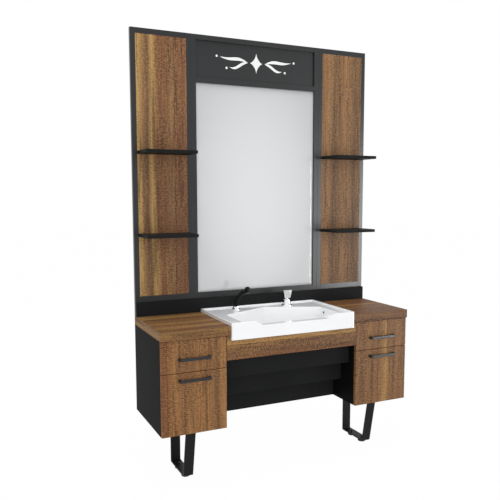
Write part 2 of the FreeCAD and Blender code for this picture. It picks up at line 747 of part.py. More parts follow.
SLOPES = ("bowl_side_slope", "bowl_back_slope", "bowl_front_slope")
basin = body("basin", "0 - sink_width / 2", "sink_front", "sink_base")
slab = sketch(basin, "XY_Plane", "slab_plan")
inset_box(slab, "0", "0", "0")
pad(basin, slab, "sink_height", "slab")
fillet(basin, "sink_corner", upright, "slab_corners")

hollow = sketch(basin, "XY_Plane", "hollow_plan")
inset_box(hollow, "sink_skirt", "sink_front_solid", "sink_skirt")
pocket(basin, hollow, "deck_level - sink_deck", "hollow", reverse=True)
front_hollow = sketch(basin, "XY_Plane", "front_hollow_plan")
outline(front_hollow, (
    ("sink_skirt", "sink_front_wall - bowl_wall"), ("sink_width - sink_skirt", "sink_front_wall - bowl_wall"),
    ("sink_width - sink_skirt", "sink_front_solid"), ("sink_skirt", "sink_front_solid")))
pocket(basin, front_hollow, "sink_height - sink_front_solid", "front_hollow", reverse=True)

shell_rim = sketch(basin, "XY_Plane", "shell_rim", "deck_level - sink_deck / 2")
bowl_plan(shell_rim, "bowl_wall")
shell_foot = sketch(basin, "XY_Plane", "shell_foot", "deck_level - bowl_depth - bowl_wall")
bowl_plan(shell_foot, "bowl_wall", *SLOPES)
loft(basin, "AdditiveLoft", "bowl_shell", shell_rim, shell_foot)

deck = sketch(basin, "XY_Plane", "deck_plan", "sink_height")
inset_box(deck, "sink_lip", "sink_lip", "sink_lip")
pocket(basin, deck, "sink_deck_drop", "deck_recess")


def level_edge(edge, height, inset):
    """True for an edge at a height above the basin's base, at least an inset inside its outline."""
    box = edge.BoundBox
    clear = box.XMin > inset - 1 and box.YMin > inset - 1
    return abs(box.ZMin - height) < 0.05 and abs(box.ZMax - height) < 0.05 and clear


SINK_HEIGHT = float(sheet.get("sink_height"))
DECK_LEVEL = SINK_HEIGHT - float(sheet.get("sink_deck_drop"))
fillet(basin, "sink_edge", lambda edge: level_edge(edge, SINK_HEIGHT, 0), "lip_edges")

bowl_rim = sketch(basin, "XY_Plane", "bowl_rim", "deck_level")
bowl_plan(bowl_rim, "0")
bowl_foot = sketch(basin, "XY_Plane", "bowl_foot", "deck_level - bowl_depth")
bowl_plan(bowl_foot, "0", *SLOPES)
loft(basin, "SubtractiveLoft", "bowl_hollow", bowl_rim, bowl_foot)


def in_bowl(edge):
    """True for the sloping corners and the floor edges of the bowl."""
    floor = DECK_LEVEL - float(sheet.get("bowl_depth"))
    box = edge.BoundBox
    corner = abs(box.ZMin - floor) < 0.5 and abs(box.ZMax - DECK_LEVEL) < 0.5
    flat = abs(box.ZMin - floor) < 0.1 and abs(box.ZMax - floor) < 0.1
    return corner or flat


fillet(basin, "bowl_corner", in_bowl, "bowl_corners")
BOWL_INSET = float(sheet.get("sink_lip")) + float(sheet.get("bowl_rim_edge"))
fillet(basin, "bowl_rim_edge", lambda edge: level_edge(edge, DECK_LEVEL, BOWL_INSET), "bowl_rim_rounding")

notch = sketch(basin, "XZ_Plane", "notch_profile")
outline(notch, (
    ("sink_width / 2 - notch_half_bottom", "sink_height - notch_depth"),
    ("sink_width / 2 + notch_half_bottom", "sink_height - notch_depth"),
    ("sink_width / 2 + notch_half_top", "sink_height"),
    ("sink_width / 2 + notch_half_top", "sink_height + notch_depth"),
    ("sink_width / 2 - notch_half_top", "sink_height + notch_depth"),
    ("sink_width / 2 - notch_half_top", "sink_height")))
pocket(basin, notch, "sink_front_wall + sink_deck_drop", "notch")

fittings = sketch(basin, "XY_Plane", "deck_holes", "sink_height")
circle(fittings, "sink_width / 2 + tap_offset", "rear_fittings", "tap_hole")
circle(fittings, "sink_width / 2 - spray_offset", "rear_fittings", "spray_hole")
pocket(basin, fittings, "sink_deck_drop + 2 * sink_deck", "deck_boring")
recess = sketch(basin, "XY_Plane", "waste_recess_plan", "sink_height")
circle(recess, "sink_width / 2", "waste_offset", "waste_recess")
pocket(basin, recess, "sink_deck_drop + bowl_depth + waste_recess_depth", "waste_recessing")
waste_bore = sketch(basin, "XY_Plane", "waste_hole_plan", "sink_height")
circle(waste_bore, "sink_width / 2", "waste_offset", "waste_hole")
pocket(basin, waste_bore, "sink_deck_drop + bowl_depth + 2 * bowl_wall", "waste_boring")
overflow = sketch(basin, "YZ_Plane", "overflow_plan",
                  "sink_width / 2 + bowl_half_width - bowl_side_slope - 2")
circle(overflow, "overflow_offset", "deck_level - overflow_drop", "overflow_hole")
pocket(basin, overflow, "bowl_side_slope + bowl_wall + 4", "overflow_boring", reverse=True)
node(basin, "sink")


# Waste, bottle trap and the pipe to the wall

waste = turned("waste", ("0", "waste_y", "bowl_floor"), (
    ("waste_bore / 2", "0 - waste_length"), ("waste_tube / 2", "0 - waste_length"),
    ("waste_tube / 2", "0 - waste_recess_depth"), ("waste_flange / 2", "0 - waste_recess_depth"),
    ("waste_flange / 2", "0 - 1"), ("waste_flange / 2 - 3", "0 - 0.4"),
    ("waste_bore / 2 + 1", "0 - 0.4"), ("waste_bore / 2", "0 - 1.5")))
strainer_plate = sketch(waste, "XY_Plane", "strainer_plan", "0 - waste_recess_depth - 2")
circle(strainer_plate, "0", "0", "waste_bore + 1")
pad(waste, strainer_plate, "2", "strainer")
strainer_hole = sketch(waste, "XY_Plane", "strainer_hole_plan", "0 - waste_recess_depth")
circle(strainer_hole, "waste_bore / 2 - strainer_hole", "0", "strainer_hole")
first_hole = pocket(waste, strainer_hole, "4", "strainer_boring")
ring = waste.newObject("PartDesign::PolarPattern", "strainer_ring")
ring.Originals = [first_hole]
ring.Axis = (strainer_hole, ["N_Axis"])
ring.Angle = 360
ring.Occurrences = 6
waste.Tip = ring
waste_nut = turned("waste_nut", ("0", "waste_y", "bowl_floor - bowl_wall - 9"), (
    ("waste_tube / 2 + 0.1", "0"), ("waste_tube / 2 + 9", "0"), ("waste_tube / 2 + 9", "7"),
    ("waste_tube / 2 + 7", "9"), ("waste_tube / 2 + 0.1", "9")))
overflow_ring = turned(
    "overflow_ring",
    ("bowl_half_width - bowl_side_slope * overflow_drop / bowl_depth", "sink_front + overflow_offset",
     "deck_top - overflow_drop"), (
        ("overflow_bore / 2", "0 - bowl_wall / 2"), ("overflow_sleeve / 2", "0 - bowl_wall / 2"),
        ("overflow_sleeve / 2", "0"), ("overflow_trim / 2", "0"),
        ("overflow_trim / 2 - 1", "overflow_trim_thickness - 0.5"),
        ("overflow_trim / 2 - 3", "overflow_trim_thickness"),
        ("overflow_bore / 2 + 1.5", "overflow_trim_thickness"),
        ("overflow_bore / 2", "overflow_trim_thickness - 1.5")),
    (0, 1, 0, 10))
OVERFLOW_TILT = formula("atan( bowl_side_slope / bowl_depth ) - 90 deg")
overflow_ring.setExpression("Placement.Rotation.Angle", OVERFLOW_TILT)
node(group("waste_set", [waste, waste_nut, overflow_ring]), "basin_waste")

trap = turned("trap_bottle", ("0", "waste_y", "trap_top"), (
    ("waste_tube / 2 + 0.1", "0"), ("waste_tube / 2 + 7", "0"), ("waste_tube / 2 + 7", "0 - 22"),
    ("trap_bore / 2 - 12", "0 - 26"), ("trap_bore / 2 - 12", "0 - 34"), ("trap_body / 2", "0 - 34"),
    ("trap_body / 2", "0 - 24 - trap_height"), ("trap_body / 2 - 10", "0 - 34 - trap_height"),
    ("0", "0 - 34 - trap_height"),
    ("0", "0 - 28 - trap_height"), ("trap_bore / 2", "0 - 28 - trap_height"), ("trap_bore / 2", "0 - 40"),
    ("trap_bore / 2 - 15", "0 - 40"), ("trap_bore / 2 - 15", "0 - 22"), ("waste_tube / 2 + 0.1", "0 - 22")))
outlet = [
    rod(name, ("0", "waste_y + trap_bore / 2 + 1", "pipe_level"), radius, length, BACKWARDS)
    for name, radius, length in (
        ("outlet_stub", "pipe_diameter / 2 + 3", "outlet_length - 14"),
        ("outlet_pipe", "pipe_diameter / 2", "wall - ( waste_y ) - trap_bore / 2 - 1"))]
outlet.append(rod("outlet_nut", ("0", "waste_y + trap_bore / 2 + outlet_length - 20", "pipe_level"),
                  "pipe_diameter / 2 + 8", "20", BACKWARDS))
pipe_core = rod("pipe_core", ("0", "waste_y", "pipe_level"), "pipe_bore / 2",
                "wall - ( waste_y ) + 1", BACKWARDS)
node(less("trap_and_pipe", joined("trap_blank", trap, *outlet), pipe_core), "bottle_trap")


# Steel angles under the basin, apron and its battens

def angle(name):
    """A steel angle screwed to a pedestal, its flange under the basin's skirt."""
    owner = body(name, "0 - ( inner_side )", "front_rear + angle_setback + angle_length",
                 "sink_base - angle_leg")
    section = sketch(owner, "XZ_Plane", name + "_section")
    outline(section, (
        ("0", "0"), ("angle_wall", "0"), ("angle_wall", "angle_leg - angle_wall"),
        ("angle_leg", "angle_leg - angle_wall"), ("angle_leg", "angle_leg"), ("0", "angle_leg")))
    pad(owner, section, "angle_length", name + "_pad")
    fillet(owner, "angle_wall", lambda edge: abs(edge.BoundBox.XMin - edge.BoundBox.XMax) < 0.01
           and edge.BoundBox.YLength > 10 and 0.1 < edge.BoundBox.XMin < 10
           and edge.BoundBox.ZMin > 10, name + "_root")
    return owner


left_angle = angle("left_angle")
node(group("angle_pair", [left_angle, opposite("right_angle", left_angle)]), "sink_brackets")

APRON_END = "( inner_side - apron_gap )"
APRON_EAR = "( sink_width / 2 + sink_fit )"
APRON_TOP = "apron_height - apron_drop"
EAR_TOP = "counter_base - ( sink_base ) + apron_height"
apron = body("apron_board", "0", "front_rear", "sink_base - apron_height")
apron_face = sketch(apron, "XZ_Plane", "apron_face")
outline(apron_face, (
    ("0 - " + APRON_END, "0"), (APRON_END, "0"), (APRON_END, EAR_TOP),
    (APRON_EAR, EAR_TOP), (APRON_EAR, APRON_TOP),
    ("0 - " + APRON_EAR, APRON_TOP), ("0 - " + APRON_EAR, EAR_TOP), ("0 - " + APRON_END, EAR_TOP)))
pad(apron, apron_face, "front_thickness", "apron_plank")
node(apron, "apron")
left_cleat = block("left_cleat", ("0 - ( inner_side )", "front_rear", "sink_base - apron_height + 4"),
                   ("cleat", "cleat", "apron_height - angle_leg - 8"))
node(group("cleat_pair", [left_cleat, opposite("right_cleat", left_cleat)]), "apron_cleats")


# Stepped cover over the waste pipe

cover_boards = []
for step in range(3):
    face = "front_face + cover_setback + %d * step_depth" % step
    base = "pedestal_bottom + %d * step_height" % (2 - step)
    rise = "step_height" if step else "cover_top - pedestal_bottom - 2 * step_height"
    cover_boards.append(block("cover_face_%d" % step, ("0 - ( inner_side )", face, base),
                              ("2 * inner_side", "cover_board", rise)))
    if step < 2:
        cover_boards.append(block(
            "cover_tread_%d" % step, ("0 - ( inner_side )", face + " + cover_board", base),
            ("2 * inner_side", "step_depth", "cover_board")))
node(group("cover_set", cover_boards), "plumbing_cover")


# Pedestals: sides grooved for the back board, bottoms and top rails

def side(name, x):
    """One upright board of a pedestal, with the groove for the back board."""
    blank = block(name + "_blank", (x, "carcass_front", "pedestal_bottom"),
                  ("board", "carcass_depth", "carcass_height"))
    inner = x + " + board - groove_depth" if name == "outer" else x
    groove = block(name + "_groove", (inner, "back_front", "pedestal_bottom + board"),
                   ("groove_depth", "carcass_back", "carcass_height"))
    return less(name + "_side", blank, groove)


outer_side = node(side("outer", "0 - half_width"), "left_outer_side")
inner_board = node(side("inner", "0 - ( inner_side ) - board"), "left_inner_side")
node(opposite("right_inner_board", inner_board), "right_inner_side")
node(opposite("right_outer_board", outer_side), "right_outer_side")

CARCASS_LEFT = "board - half_width"


def leg_screw_places():
    """Names and places of the four screws of the left leg."""
    front = "leg_rear - leg_length - leg_lean + screw_inset"
    rear = "leg_rear - screw_inset"
    places = []
    for end, y in (("front", front), ("rear", rear)):
        for hand, sign in (("left", "-"), ("right", "+")):
            places.append((end + "_" + hand, "0 - leg_centre " + sign + " screw_spacing / 2", y))
    return places


bottom_holes = [
    rod("bottom_hole_" + name, (x, y, "pedestal_bottom"), "screw_shank / 2 + 0.1",
        "screw_length - leg_bar + 1")
    for name, x, y in leg_screw_places()]
left_bottom = less(
    "left_bottom", block("left_bottom_blank", (CARCASS_LEFT, "carcass_front", "pedestal_bottom"),
                         ("clear_width", "carcass_depth", "board")), *bottom_holes)
node(group("bottom_pair", [left_bottom, opposite("right_bottom", left_bottom)]), "pedestal_bottoms")

left_back = block("left_carcass_back",
                  (CARCASS_LEFT + " - groove_depth", "back_front", "pedestal_bottom + board"),
                  ("clear_width + 2 * groove_depth", "carcass_back", "carcass_height - board"))
node(group("back_pair", [left_back, opposite("right_carcass_back", left_back)]), "pedestal_backs")

top_rails = [
    block("left_rail_" + name, (CARCASS_LEFT, y, "counter_base - board"),
          ("clear_width", "top_rail_depth", "board"))
    for name, y in (("front", "carcass_front"), ("rear", "back_front - top_rail_depth"))]
right_rails = [opposite(item.Name + "_right", item) for item in top_rails]
node(group("top_rails", top_rails + right_rails), "pedestal_rails")


# Drawers on steel runners

def channel(name, x, y, z, depth, height, opens_right):
    """A sheet-steel channel along Y, open towards +X or towards -X."""
    owner = body(name, x, y + " + runner_length", z)
    section = sketch(owner, "XZ_Plane", name + "_section")
    web = ("0", "runner_wall") if opens_right else (depth, depth + " - runner_wall")
    far = depth if opens_right else "0"
    outline(section, (
        (web[0], "0"), (far, "0"), (far, "runner_wall"), (web[1], "runner_wall"),
        (web[1], height + " - runner_wall"), (far, height + " - runner_wall"), (far, height),
        (web[0], height)))
    pad(owner, section, "runner_length", name + "_pad")
    return owner


def mirrored_about_pedestal(name, source):
    """The same piece on the other side of the left pedestal's middle plane."""
    doc.recompute()
    item = doc.addObject("Part::Mirroring", name)
    item.Source = source
    item.Normal = V(1, 0, 0)
    item.setExpression("Base.x", formula("0 - ( pedestal_centre )"))
    return item


DRAWERS = {
    "upper": {"runner": "upper_runner", "base": "upper_box_base", "height": "upper_box_height",
              "front": "upper_front_base", "rise": "upper_front_height", "handle": "upper_handle_height"},
    "lower": {"runner": "lower_runner", "base": "lower_box_base", "height": "lower_box_height",
              "front": "pedestal_bottom", "rise": "lower_front_height", "handle": "lower_handle_height"},
}
PLACES["inner_runner_height"] = "runner_height - 2 * runner_wall - 2 * runner_play"
PLACES["inner_runner_depth"] = "runner_space - runner_wall - 3"
BOX_LEFT = "0 - ( pedestal_centre ) - box_width / 2"
PLACES["handle_end"] = "handle_length / 2"
PLACES["handle_foot_side"] = "handle_length / 2 - handle_post"
PLACES["handle_bar_back"] = "handle_standoff - handle_bar / 2"
PLACES["handle_bar_front"] = "handle_standoff + handle_bar / 2"
HANDLE_PLAN = (
    ("0 - handle_end", "0"),
    ("0 - handle_end", "0 - handle_bar_front"),
    ("handle_end", "0 - handle_bar_front"),
    ("handle_end", "0"),
    ("handle_foot_side", "0"),
    ("handle_foot_side", "0 - handle_bar_back"),
    ("0 - handle_foot_side", "0 - handle_bar_back"),
    ("0 - handle_foot_side", "0"))

fixed_runners = []
for level, drawer in DRAWERS.items():
    outer_channel = channel(
        level + "_fixed_runner", CARCASS_LEFT, "carcass_front + 2", drawer["runner"] + " - runner_height / 2",
        "runner_space - 2", "runner_height", True)
    fixed_runners = fixed_runners + [
        outer_channel, mirrored_about_pedestal(level + "_fixed_runner_inner", outer_channel)]

    inner_channel = channel(
        level + "_drawer_runner", BOX_LEFT + " - inner_runner_depth", "front_rear",
        drawer["runner"] + " - inner_runner_height / 2", "( inner_runner_depth )",
        "( inner_runner_height )", False)
    slides = node(group(level + "_slides", [
        inner_channel, mirrored_about_pedestal(level + "_drawer_runner_inner", inner_channel)]),
        "left_%s_drawer_slides" % level)

    box_side = block(level + "_box_side", (BOX_LEFT, "front_rear", drawer["base"]),
                     ("box_board", "runner_length", drawer["height"]))
    inner_span = "box_width - 2 * box_board"
    box = node(group(level + "_box", [
        box_side,
        mirrored_about_pedestal(level + "_box_side_inner", box_side),
        block(level + "_box_front", (BOX_LEFT + " + box_board", "front_rear", drawer["base"]),
              (inner_span, "box_board", drawer["height"])),
        block(level + "_box_back",
              (BOX_LEFT + " + box_board", "front_rear + runner_length - box_board", drawer["base"]),
              (inner_span, "box_board", drawer["height"])),
        block(level + "_box_bottom", (BOX_LEFT, "front_rear", drawer["base"] + " - box_bottom"),
              ("box_width", "runner_length", "box_bottom")),
    ]), "left_%s_drawer_box" % level)

    front = node(rounded(
        level + "_front",
        block(level + "_front_blank", ("front_reveal - half_width", "front_face", drawer["front"]),
              ("pedestal_width - 2 * front_reveal", "front_thickness", drawer["rise"])),
        "front_edge", at_front), "left_%s_drawer_front" % level)

    bridge = body(level + "_handle", "0 - ( pedestal_centre )", "front_face",
                  drawer["handle"] + " - handle_rise / 2")
    plan = sketch(bridge, "XY_Plane", level + "_handle_plan")
    outline(plan, HANDLE_PLAN)
    pad(bridge, plan, "handle_rise", level + "_handle_pad")
    reach = float(sheet.get("handle_standoff"))
    fillet(bridge, "handle_bend", lambda edge: upright(edge) and edge.BoundBox.YMax < 0 - reach,
           level + "_handle_bends")
    fillet(bridge, "handle_inner_bend",
           lambda edge: upright(edge) and 0 - reach < edge.BoundBox.YMin < -1 and edge.BoundBox.YLength < 0.1
           and abs(edge.BoundBox.XMin) < float(sheet.get("handle_length")) / 2 - 1,
           level + "_handle_inner_bends")
    fillet(bridge, "handle_edge", lambda edge: edge.BoundBox.YMax < 0 - reach and edge.BoundBox.XLength > 100,
           level + "_handle_edges")
    handle = node(bridge, "left_%s_drawer_handle" % level)

    for piece, kind in ((slides, "slides"), (box, "box"), (front, "front"), (handle, "handle")):
        node(opposite("right_%s_%s" % (level, kind), piece), "right_%s_drawer_%s" % (level, kind))

node(group("runner_set", fixed_runners + [opposite(item.Name + "_right", item) for item in fixed_runners]),
     "fixed_slides")


# Legs: a flat bar bent into a loop with an upright rear and a front that leans forward

def leg_line(z, offset="0"):
    """The leaning front bar's outer line at a height above its foot, moved back by an offset."""
    return "( 0 - leg_length - leg_lean * ( %s ) / ( leg_rise ) + %s )" % (z, offset)


leg = body("leg_loop", "0 - leg_centre - leg_width / 2", "leg_rear", "foot_height")
loop = sketch(leg, "YZ_Plane", "leg_outline")
outline(loop, (("0", "0"), ("0", "leg_rise"), (leg_line("leg_rise"), "leg_rise"), (leg_line("0"), "0")))
pad(leg, loop, "leg_width", "leg_block")
fillet(leg, "leg_bar", lambda edge: edge.BoundBox.XLength > 10 and edge.BoundBox.ZMax < 1, "leg_outer_bends")
window = sketch(leg, "YZ_Plane", "leg_window")
outline(window, (
    ("0 - leg_bar", "leg_bar"), ("0 - leg_bar", "leg_rise - leg_bar"),
    (leg_line("leg_rise - leg_bar", "leg_slant"), "leg_rise - leg_bar"),
    (leg_line("leg_bar", "leg_slant"), "leg_bar")))
pocket(leg, window, "leg_width", "leg_opening", reverse=True)


def window_bend(edge):
    """True for the four inside bends of the leg's window."""
    box = edge.BoundBox
    bar = float(sheet.get("leg_bar"))
    rise = float(sheet.get("pedestal_bottom")) - float(sheet.get("foot_height"))
    inside = abs(box.ZMin - bar) < 0.1 or abs(box.ZMin - rise + bar) < 0.1
    return box.XLength > 10 and box.YLength < 0.1 and box.ZLength < 0.1 and inside


fillet(leg, "leg_bend", window_bend, "leg_inner_bends")
foot_holes = sketch(leg, "XY_Plane", "foot_holes")
for y in ("0 - rear_foot_inset", "front_foot_inset - leg_length"):
    circle(foot_holes, "leg_width / 2", y, "foot_stud + 2 * foot_clearance")
pocket(leg, foot_holes, "leg_bar", "foot_boring", reverse=True)
screw_holes = sketch(leg, "XY_Plane", "screw_holes", "leg_rise")
for y in ("0 - screw_inset", "screw_inset - leg_length - leg_lean"):
    for x in ("leg_width / 2 - screw_spacing / 2", "leg_width / 2 + screw_spacing / 2"):
        circle(screw_holes, x, y, "screw_shank + 0.4")
pocket(leg, screw_holes, "leg_bar", "screw_boring")
left_leg = node(leg, "left_leg")
node(opposite("right_leg_loop", left_leg), "right_leg")

leg_screws = []
for name, x, y in leg_screw_places():
    leg_screws.append(turned("leg_screw_" + name, (x, y, "pedestal_bottom - leg_bar"), (
        ("0", "0 - screw_head_height"), ("screw_head / 2 - 1.5", "0 - screw_head_height"),
        ("screw_head / 2", "0 - 1"),
        ("screw_head / 2", "0"), ("screw_shank / 2", "0"), ("screw_shank / 2", "screw_length - 2"),
        ("0", "screw_length"))))
right_screws = [opposite(item.Name + "_right", item) for item in leg_screws]
node(group("screw_set", leg_screws + right_screws), "leg_screws")

FOOT_PROFILE = (
    ("0", "0"), ("foot_pad / 2 - 2", "0"), ("foot_pad / 2", "2"), ("foot_pad / 2", "foot_pad_thickness - 3"),
    ("foot_stud / 2 + 4", "foot_pad_thickness"), ("foot_stud / 2 + 4", "foot_height"),
    ("foot_stud / 2", "foot_height"), ("foot_stud / 2", "foot_stud_height - 1"),
    ("foot_stud / 2 - 1", "foot_stud_height"), ("0", "foot_stud_height"))
for end, y in (("front", "leg_rear - leg_length + front_foot_inset"), ("rear", "leg_rear - rear_foot_inset")):
    foot = node(turned(end + "_foot", ("0 - leg_centre", y, "0"), FOOT_PROFILE),
                "left_%s_foot" % end)
    node(opposite("right_%s_foot_turning" % end, foot), "right_%s_foot" % end)


# Tap: body, turning stem with a cross pin, and a flared lever that tips on the pin

tap = turned("tap", ("tap_offset", "tap_y", "deck_top"), (
    ("0", "0 - tap_shank_length"), ("tap_shank / 2", "0 - tap_shank_length"), ("tap_shank / 2", "0"),
    ("tap_base / 2", "0"), ("tap_base / 2", "tap_base_height - 1"), ("tap_base / 2 - 1", "tap_base_height"),
    ("tap_shoulder / 2", "tap_base_height + 3"),
    ("( tap_shoulder + tap_waist ) / 4 - 1", "tap_base_height + 9"),
    ("tap_waist / 2", "tap_height / 2"), ("( tap_waist + tap_neck ) / 4 - 0.5", "tap_height - 11"),
    ("tap_neck / 2", "tap_height - 6"), ("tap_neck / 2 - 3", "tap_height - 1.5"),
    ("tap_neck / 2 - 8", "tap_height"), ("0", "tap_height")))
stem_bore = sketch(tap, "XY_Plane", "stem_bore", "tap_height")
circle(stem_bore, "0", "0", "stem_diameter + 2 * stem_clearance")
pocket(tap, stem_bore, "stem_depth + 0.3", "stem_boring")
tap_nut = turned("tap_nut", ("tap_offset", "tap_y", "deck_top - sink_deck - 8"), (
    ("tap_shank / 2 + 0.1", "0"), ("tap_shank / 2 + 8", "0"), ("tap_shank / 2 + 8", "8"),
    ("tap_shank / 2 + 0.1", "8")))
node(group("tap_set", [tap, tap_nut]), "tap_body")

stem_rod = rod("stem_rod", ("tap_offset", "tap_y", "deck_top + tap_height - stem_depth"), "stem_diameter / 2",
               "stem_depth + pivot_height - tap_height + pivot_pin")
cross_pin = rod("cross_pin", ("tap_offset - pivot_pin_length / 2", "tap_y", "tap_pivot"), "pivot_pin / 2",
                "pivot_pin_length", (0, 1, 0, 90))
node(joined("stem_and_pin", stem_rod, cross_pin), "tap_stem")

lever = body("lever", "tap_offset", "tap_y", "tap_pivot - lever_gap")
lever_side = sketch(lever, "YZ_Plane", "lever_side", "0 - lever_top_width / 2")
outline(lever_side, (
    ("0 - lever_foot / 2", "0"), ("lever_foot / 2", "0"),
    ("lever_top_depth / 2 - lever_lean", "lever_height"),
    ("0 - lever_lean - lever_top_depth / 2", "lever_height")))
pad(lever, lever_side, "lever_top_width", "lever_pad")
lever_taper = sketch(lever, "XZ_Plane", "lever_taper", "lever_foot")
for sign in ("0 - ", ""):
    outline(lever_taper, (
        (sign + "lever_waist / 2", "0"), (sign + "lever_top_width / 2", "0"),
        (sign + "lever_top_width / 2", "lever_height")))
pocket(lever, lever_taper, "2 * lever_foot", "lever_tapering")
fillet(lever, "lever_corner", lambda edge: edge.BoundBox.ZLength > 10, "lever_corners")
slot = sketch(lever, "XY_Plane", "lever_slot")
outline(slot, (
    ("0 - stem_diameter / 2 - lever_slot_play", "0 - lever_slot_depth / 2"),
    ("stem_diameter / 2 + lever_slot_play", "0 - lever_slot_depth / 2"),
    ("stem_diameter / 2 + lever_slot_play", "lever_slot_depth / 2"),
    ("0 - stem_diameter / 2 - lever_slot_play", "lever_slot_depth / 2")))
pocket(lever, slot, "lever_slot_height", "lever_slotting", reverse=True)
pin_bore = sketch(lever, "YZ_Plane", "pin_bore", "0 - pivot_pin_length / 2 - 0.3")
circle(pin_bore, "0", "lever_gap", "pivot_pin + 2 * pivot_clearance")
pocket(lever, pin_bore, "pivot_pin_length + 0.6", "pin_boring", reverse=True)
node(lever, "tap_lever")


# Hand spray in its holder

SPRAY_AT = ("0 - spray_offset", "tap_y", "deck_top")
holder = turned("holder", SPRAY_AT, (
    ("spray_stem / 2 + spray_clearance", "0 - holder_shank_length"),
    ("holder_shank / 2", "0 - holder_shank_length"),
    ("holder_shank / 2", "0"), ("holder_flange / 2", "0"), ("holder_flange / 2", "3"),
    ("holder_top / 2 + 2", "holder_height - 8"), ("holder_top / 2", "holder_height"),
    ("spray_stem / 2 + spray_clearance", "holder_height")))
holder_nut = turned("holder_nut", (SPRAY_AT[0], SPRAY_AT[1], "deck_top - sink_deck - 8"), (
    ("holder_shank / 2 + 0.1", "0"), ("holder_shank / 2 + 8", "0"), ("holder_shank / 2 + 8", "8"),
    ("holder_shank / 2 + 0.1", "8")))
node(group("holder_set", [holder, holder_nut]), "spray_holder")

stem = rod("spray_stem_rod", ("0", "0", "holder_height - spray_stem_depth"), "spray_stem / 2",
           "spray_stem_depth")
rings = []
for index in range(5):
    angle = "spray_turn * %d / 4" % index
    ring = doc.addObject("Part::Circle", "grip_ring_%d" % index)
    ring.Placement = FreeCAD.Placement(V(0, 0, 0), FreeCAD.Rotation(V(0, 1, 0), 10))
    bind(ring, Radius="spray_stem / 2 + ( spray_grip - spray_stem ) / 2 * %d / 4" % index)
    ring.setExpression("Placement.Rotation.Angle", formula(angle))
    place(ring, "spray_bend * ( 1 - cos( " + angle + " ) )", "0",
          "holder_height + spray_bend * sin( " + angle + " )")
    rings.append(ring)
grip = doc.addObject("Part::Loft", "spray_grip_loft")
grip.Sections = rings
grip.Solid = True
NOZZLE_AT = ("nozzle_reach", "0", "nozzle_height")
TILT = (0, 1, 0, -8)
head = turned("spray_head_turning", NOZZLE_AT, (
    ("0", "nozzle_seat"), ("nozzle_face / 2 + 0.3", "nozzle_seat"), ("nozzle_face / 2 + 0.3", "0"),
    ("spray_head / 2 - 2", "0"), ("spray_head / 2", "3"), ("spray_head / 2", "spray_head_length - 12"),
    ("spray_head / 2 - 4", "spray_head_length - 4"), ("spray_head / 2 - 10", "spray_head_length"),
    ("0", "spray_head_length")), TILT)
nozzle = turned("nozzle_turning", NOZZLE_AT, (
    ("0", "nozzle_seat - nozzle_thickness"), ("nozzle_face / 2 - 1", "nozzle_seat - nozzle_thickness"),
    ("nozzle_face / 2", "nozzle_seat - nozzle_thickness + 1"), ("nozzle_face / 2", "nozzle_seat"),
    ("0", "nozzle_seat")), TILT)
for source, name in ((joined("spray_solid", stem, grip, head), "hand_spray"), (nozzle, "spray_nozzle")):
    held = group(name + "_placed", [source])
    held.Placement = FreeCAD.Placement(V(0, 0, 0), FreeCAD.Rotation(V(0, 0, 1), 10))
    held.setExpression("Placement.Rotation.Angle", formula("spray_swing"))
    node(place(held, *SPRAY_AT), name)

doc.recompute()
for item in doc.Objects:
    if "Invalid" in item.State or "Error" in item.State:
        raise RuntimeError("%s: %s" % (item.Label, item.State))
os.makedirs("parts", exist_ok=True)
for item in nodes:
    if item.Shape.isNull() or not item.Shape.isValid():
        raise RuntimeError(item.Label + " has no valid shape")
for item in nodes:
    item.Shape.exportStep("parts/%s.step" % item.Label)
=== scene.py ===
"""Looks of a wall-side barber station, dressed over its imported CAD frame.

Everything is in metres: X along the wall, +Y towards the wall, Z up from the floor.
"""

import logging
import math
import random
from dataclasses import dataclass
from enum import Enum
from typing import Iterable, Sequence, Union

import bpy
import numpy as np
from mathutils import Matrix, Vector


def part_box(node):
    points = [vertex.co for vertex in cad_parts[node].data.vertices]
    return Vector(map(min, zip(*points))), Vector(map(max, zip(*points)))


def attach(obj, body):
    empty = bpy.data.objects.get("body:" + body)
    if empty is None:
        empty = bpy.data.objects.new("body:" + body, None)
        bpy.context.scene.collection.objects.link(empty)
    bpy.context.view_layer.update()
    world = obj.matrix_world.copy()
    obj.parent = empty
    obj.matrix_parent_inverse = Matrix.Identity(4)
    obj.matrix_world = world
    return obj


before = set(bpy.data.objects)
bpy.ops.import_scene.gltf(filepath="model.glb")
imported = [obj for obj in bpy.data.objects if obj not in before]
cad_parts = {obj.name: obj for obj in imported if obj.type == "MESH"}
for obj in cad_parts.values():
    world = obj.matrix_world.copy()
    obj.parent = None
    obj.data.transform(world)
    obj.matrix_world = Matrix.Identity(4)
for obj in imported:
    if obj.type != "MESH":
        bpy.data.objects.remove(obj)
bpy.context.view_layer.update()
LOG = logging.getLogger("barber_station")

Colour = tuple[float, float, float]
Number = Union[float, "Signal"]


# Shader maths


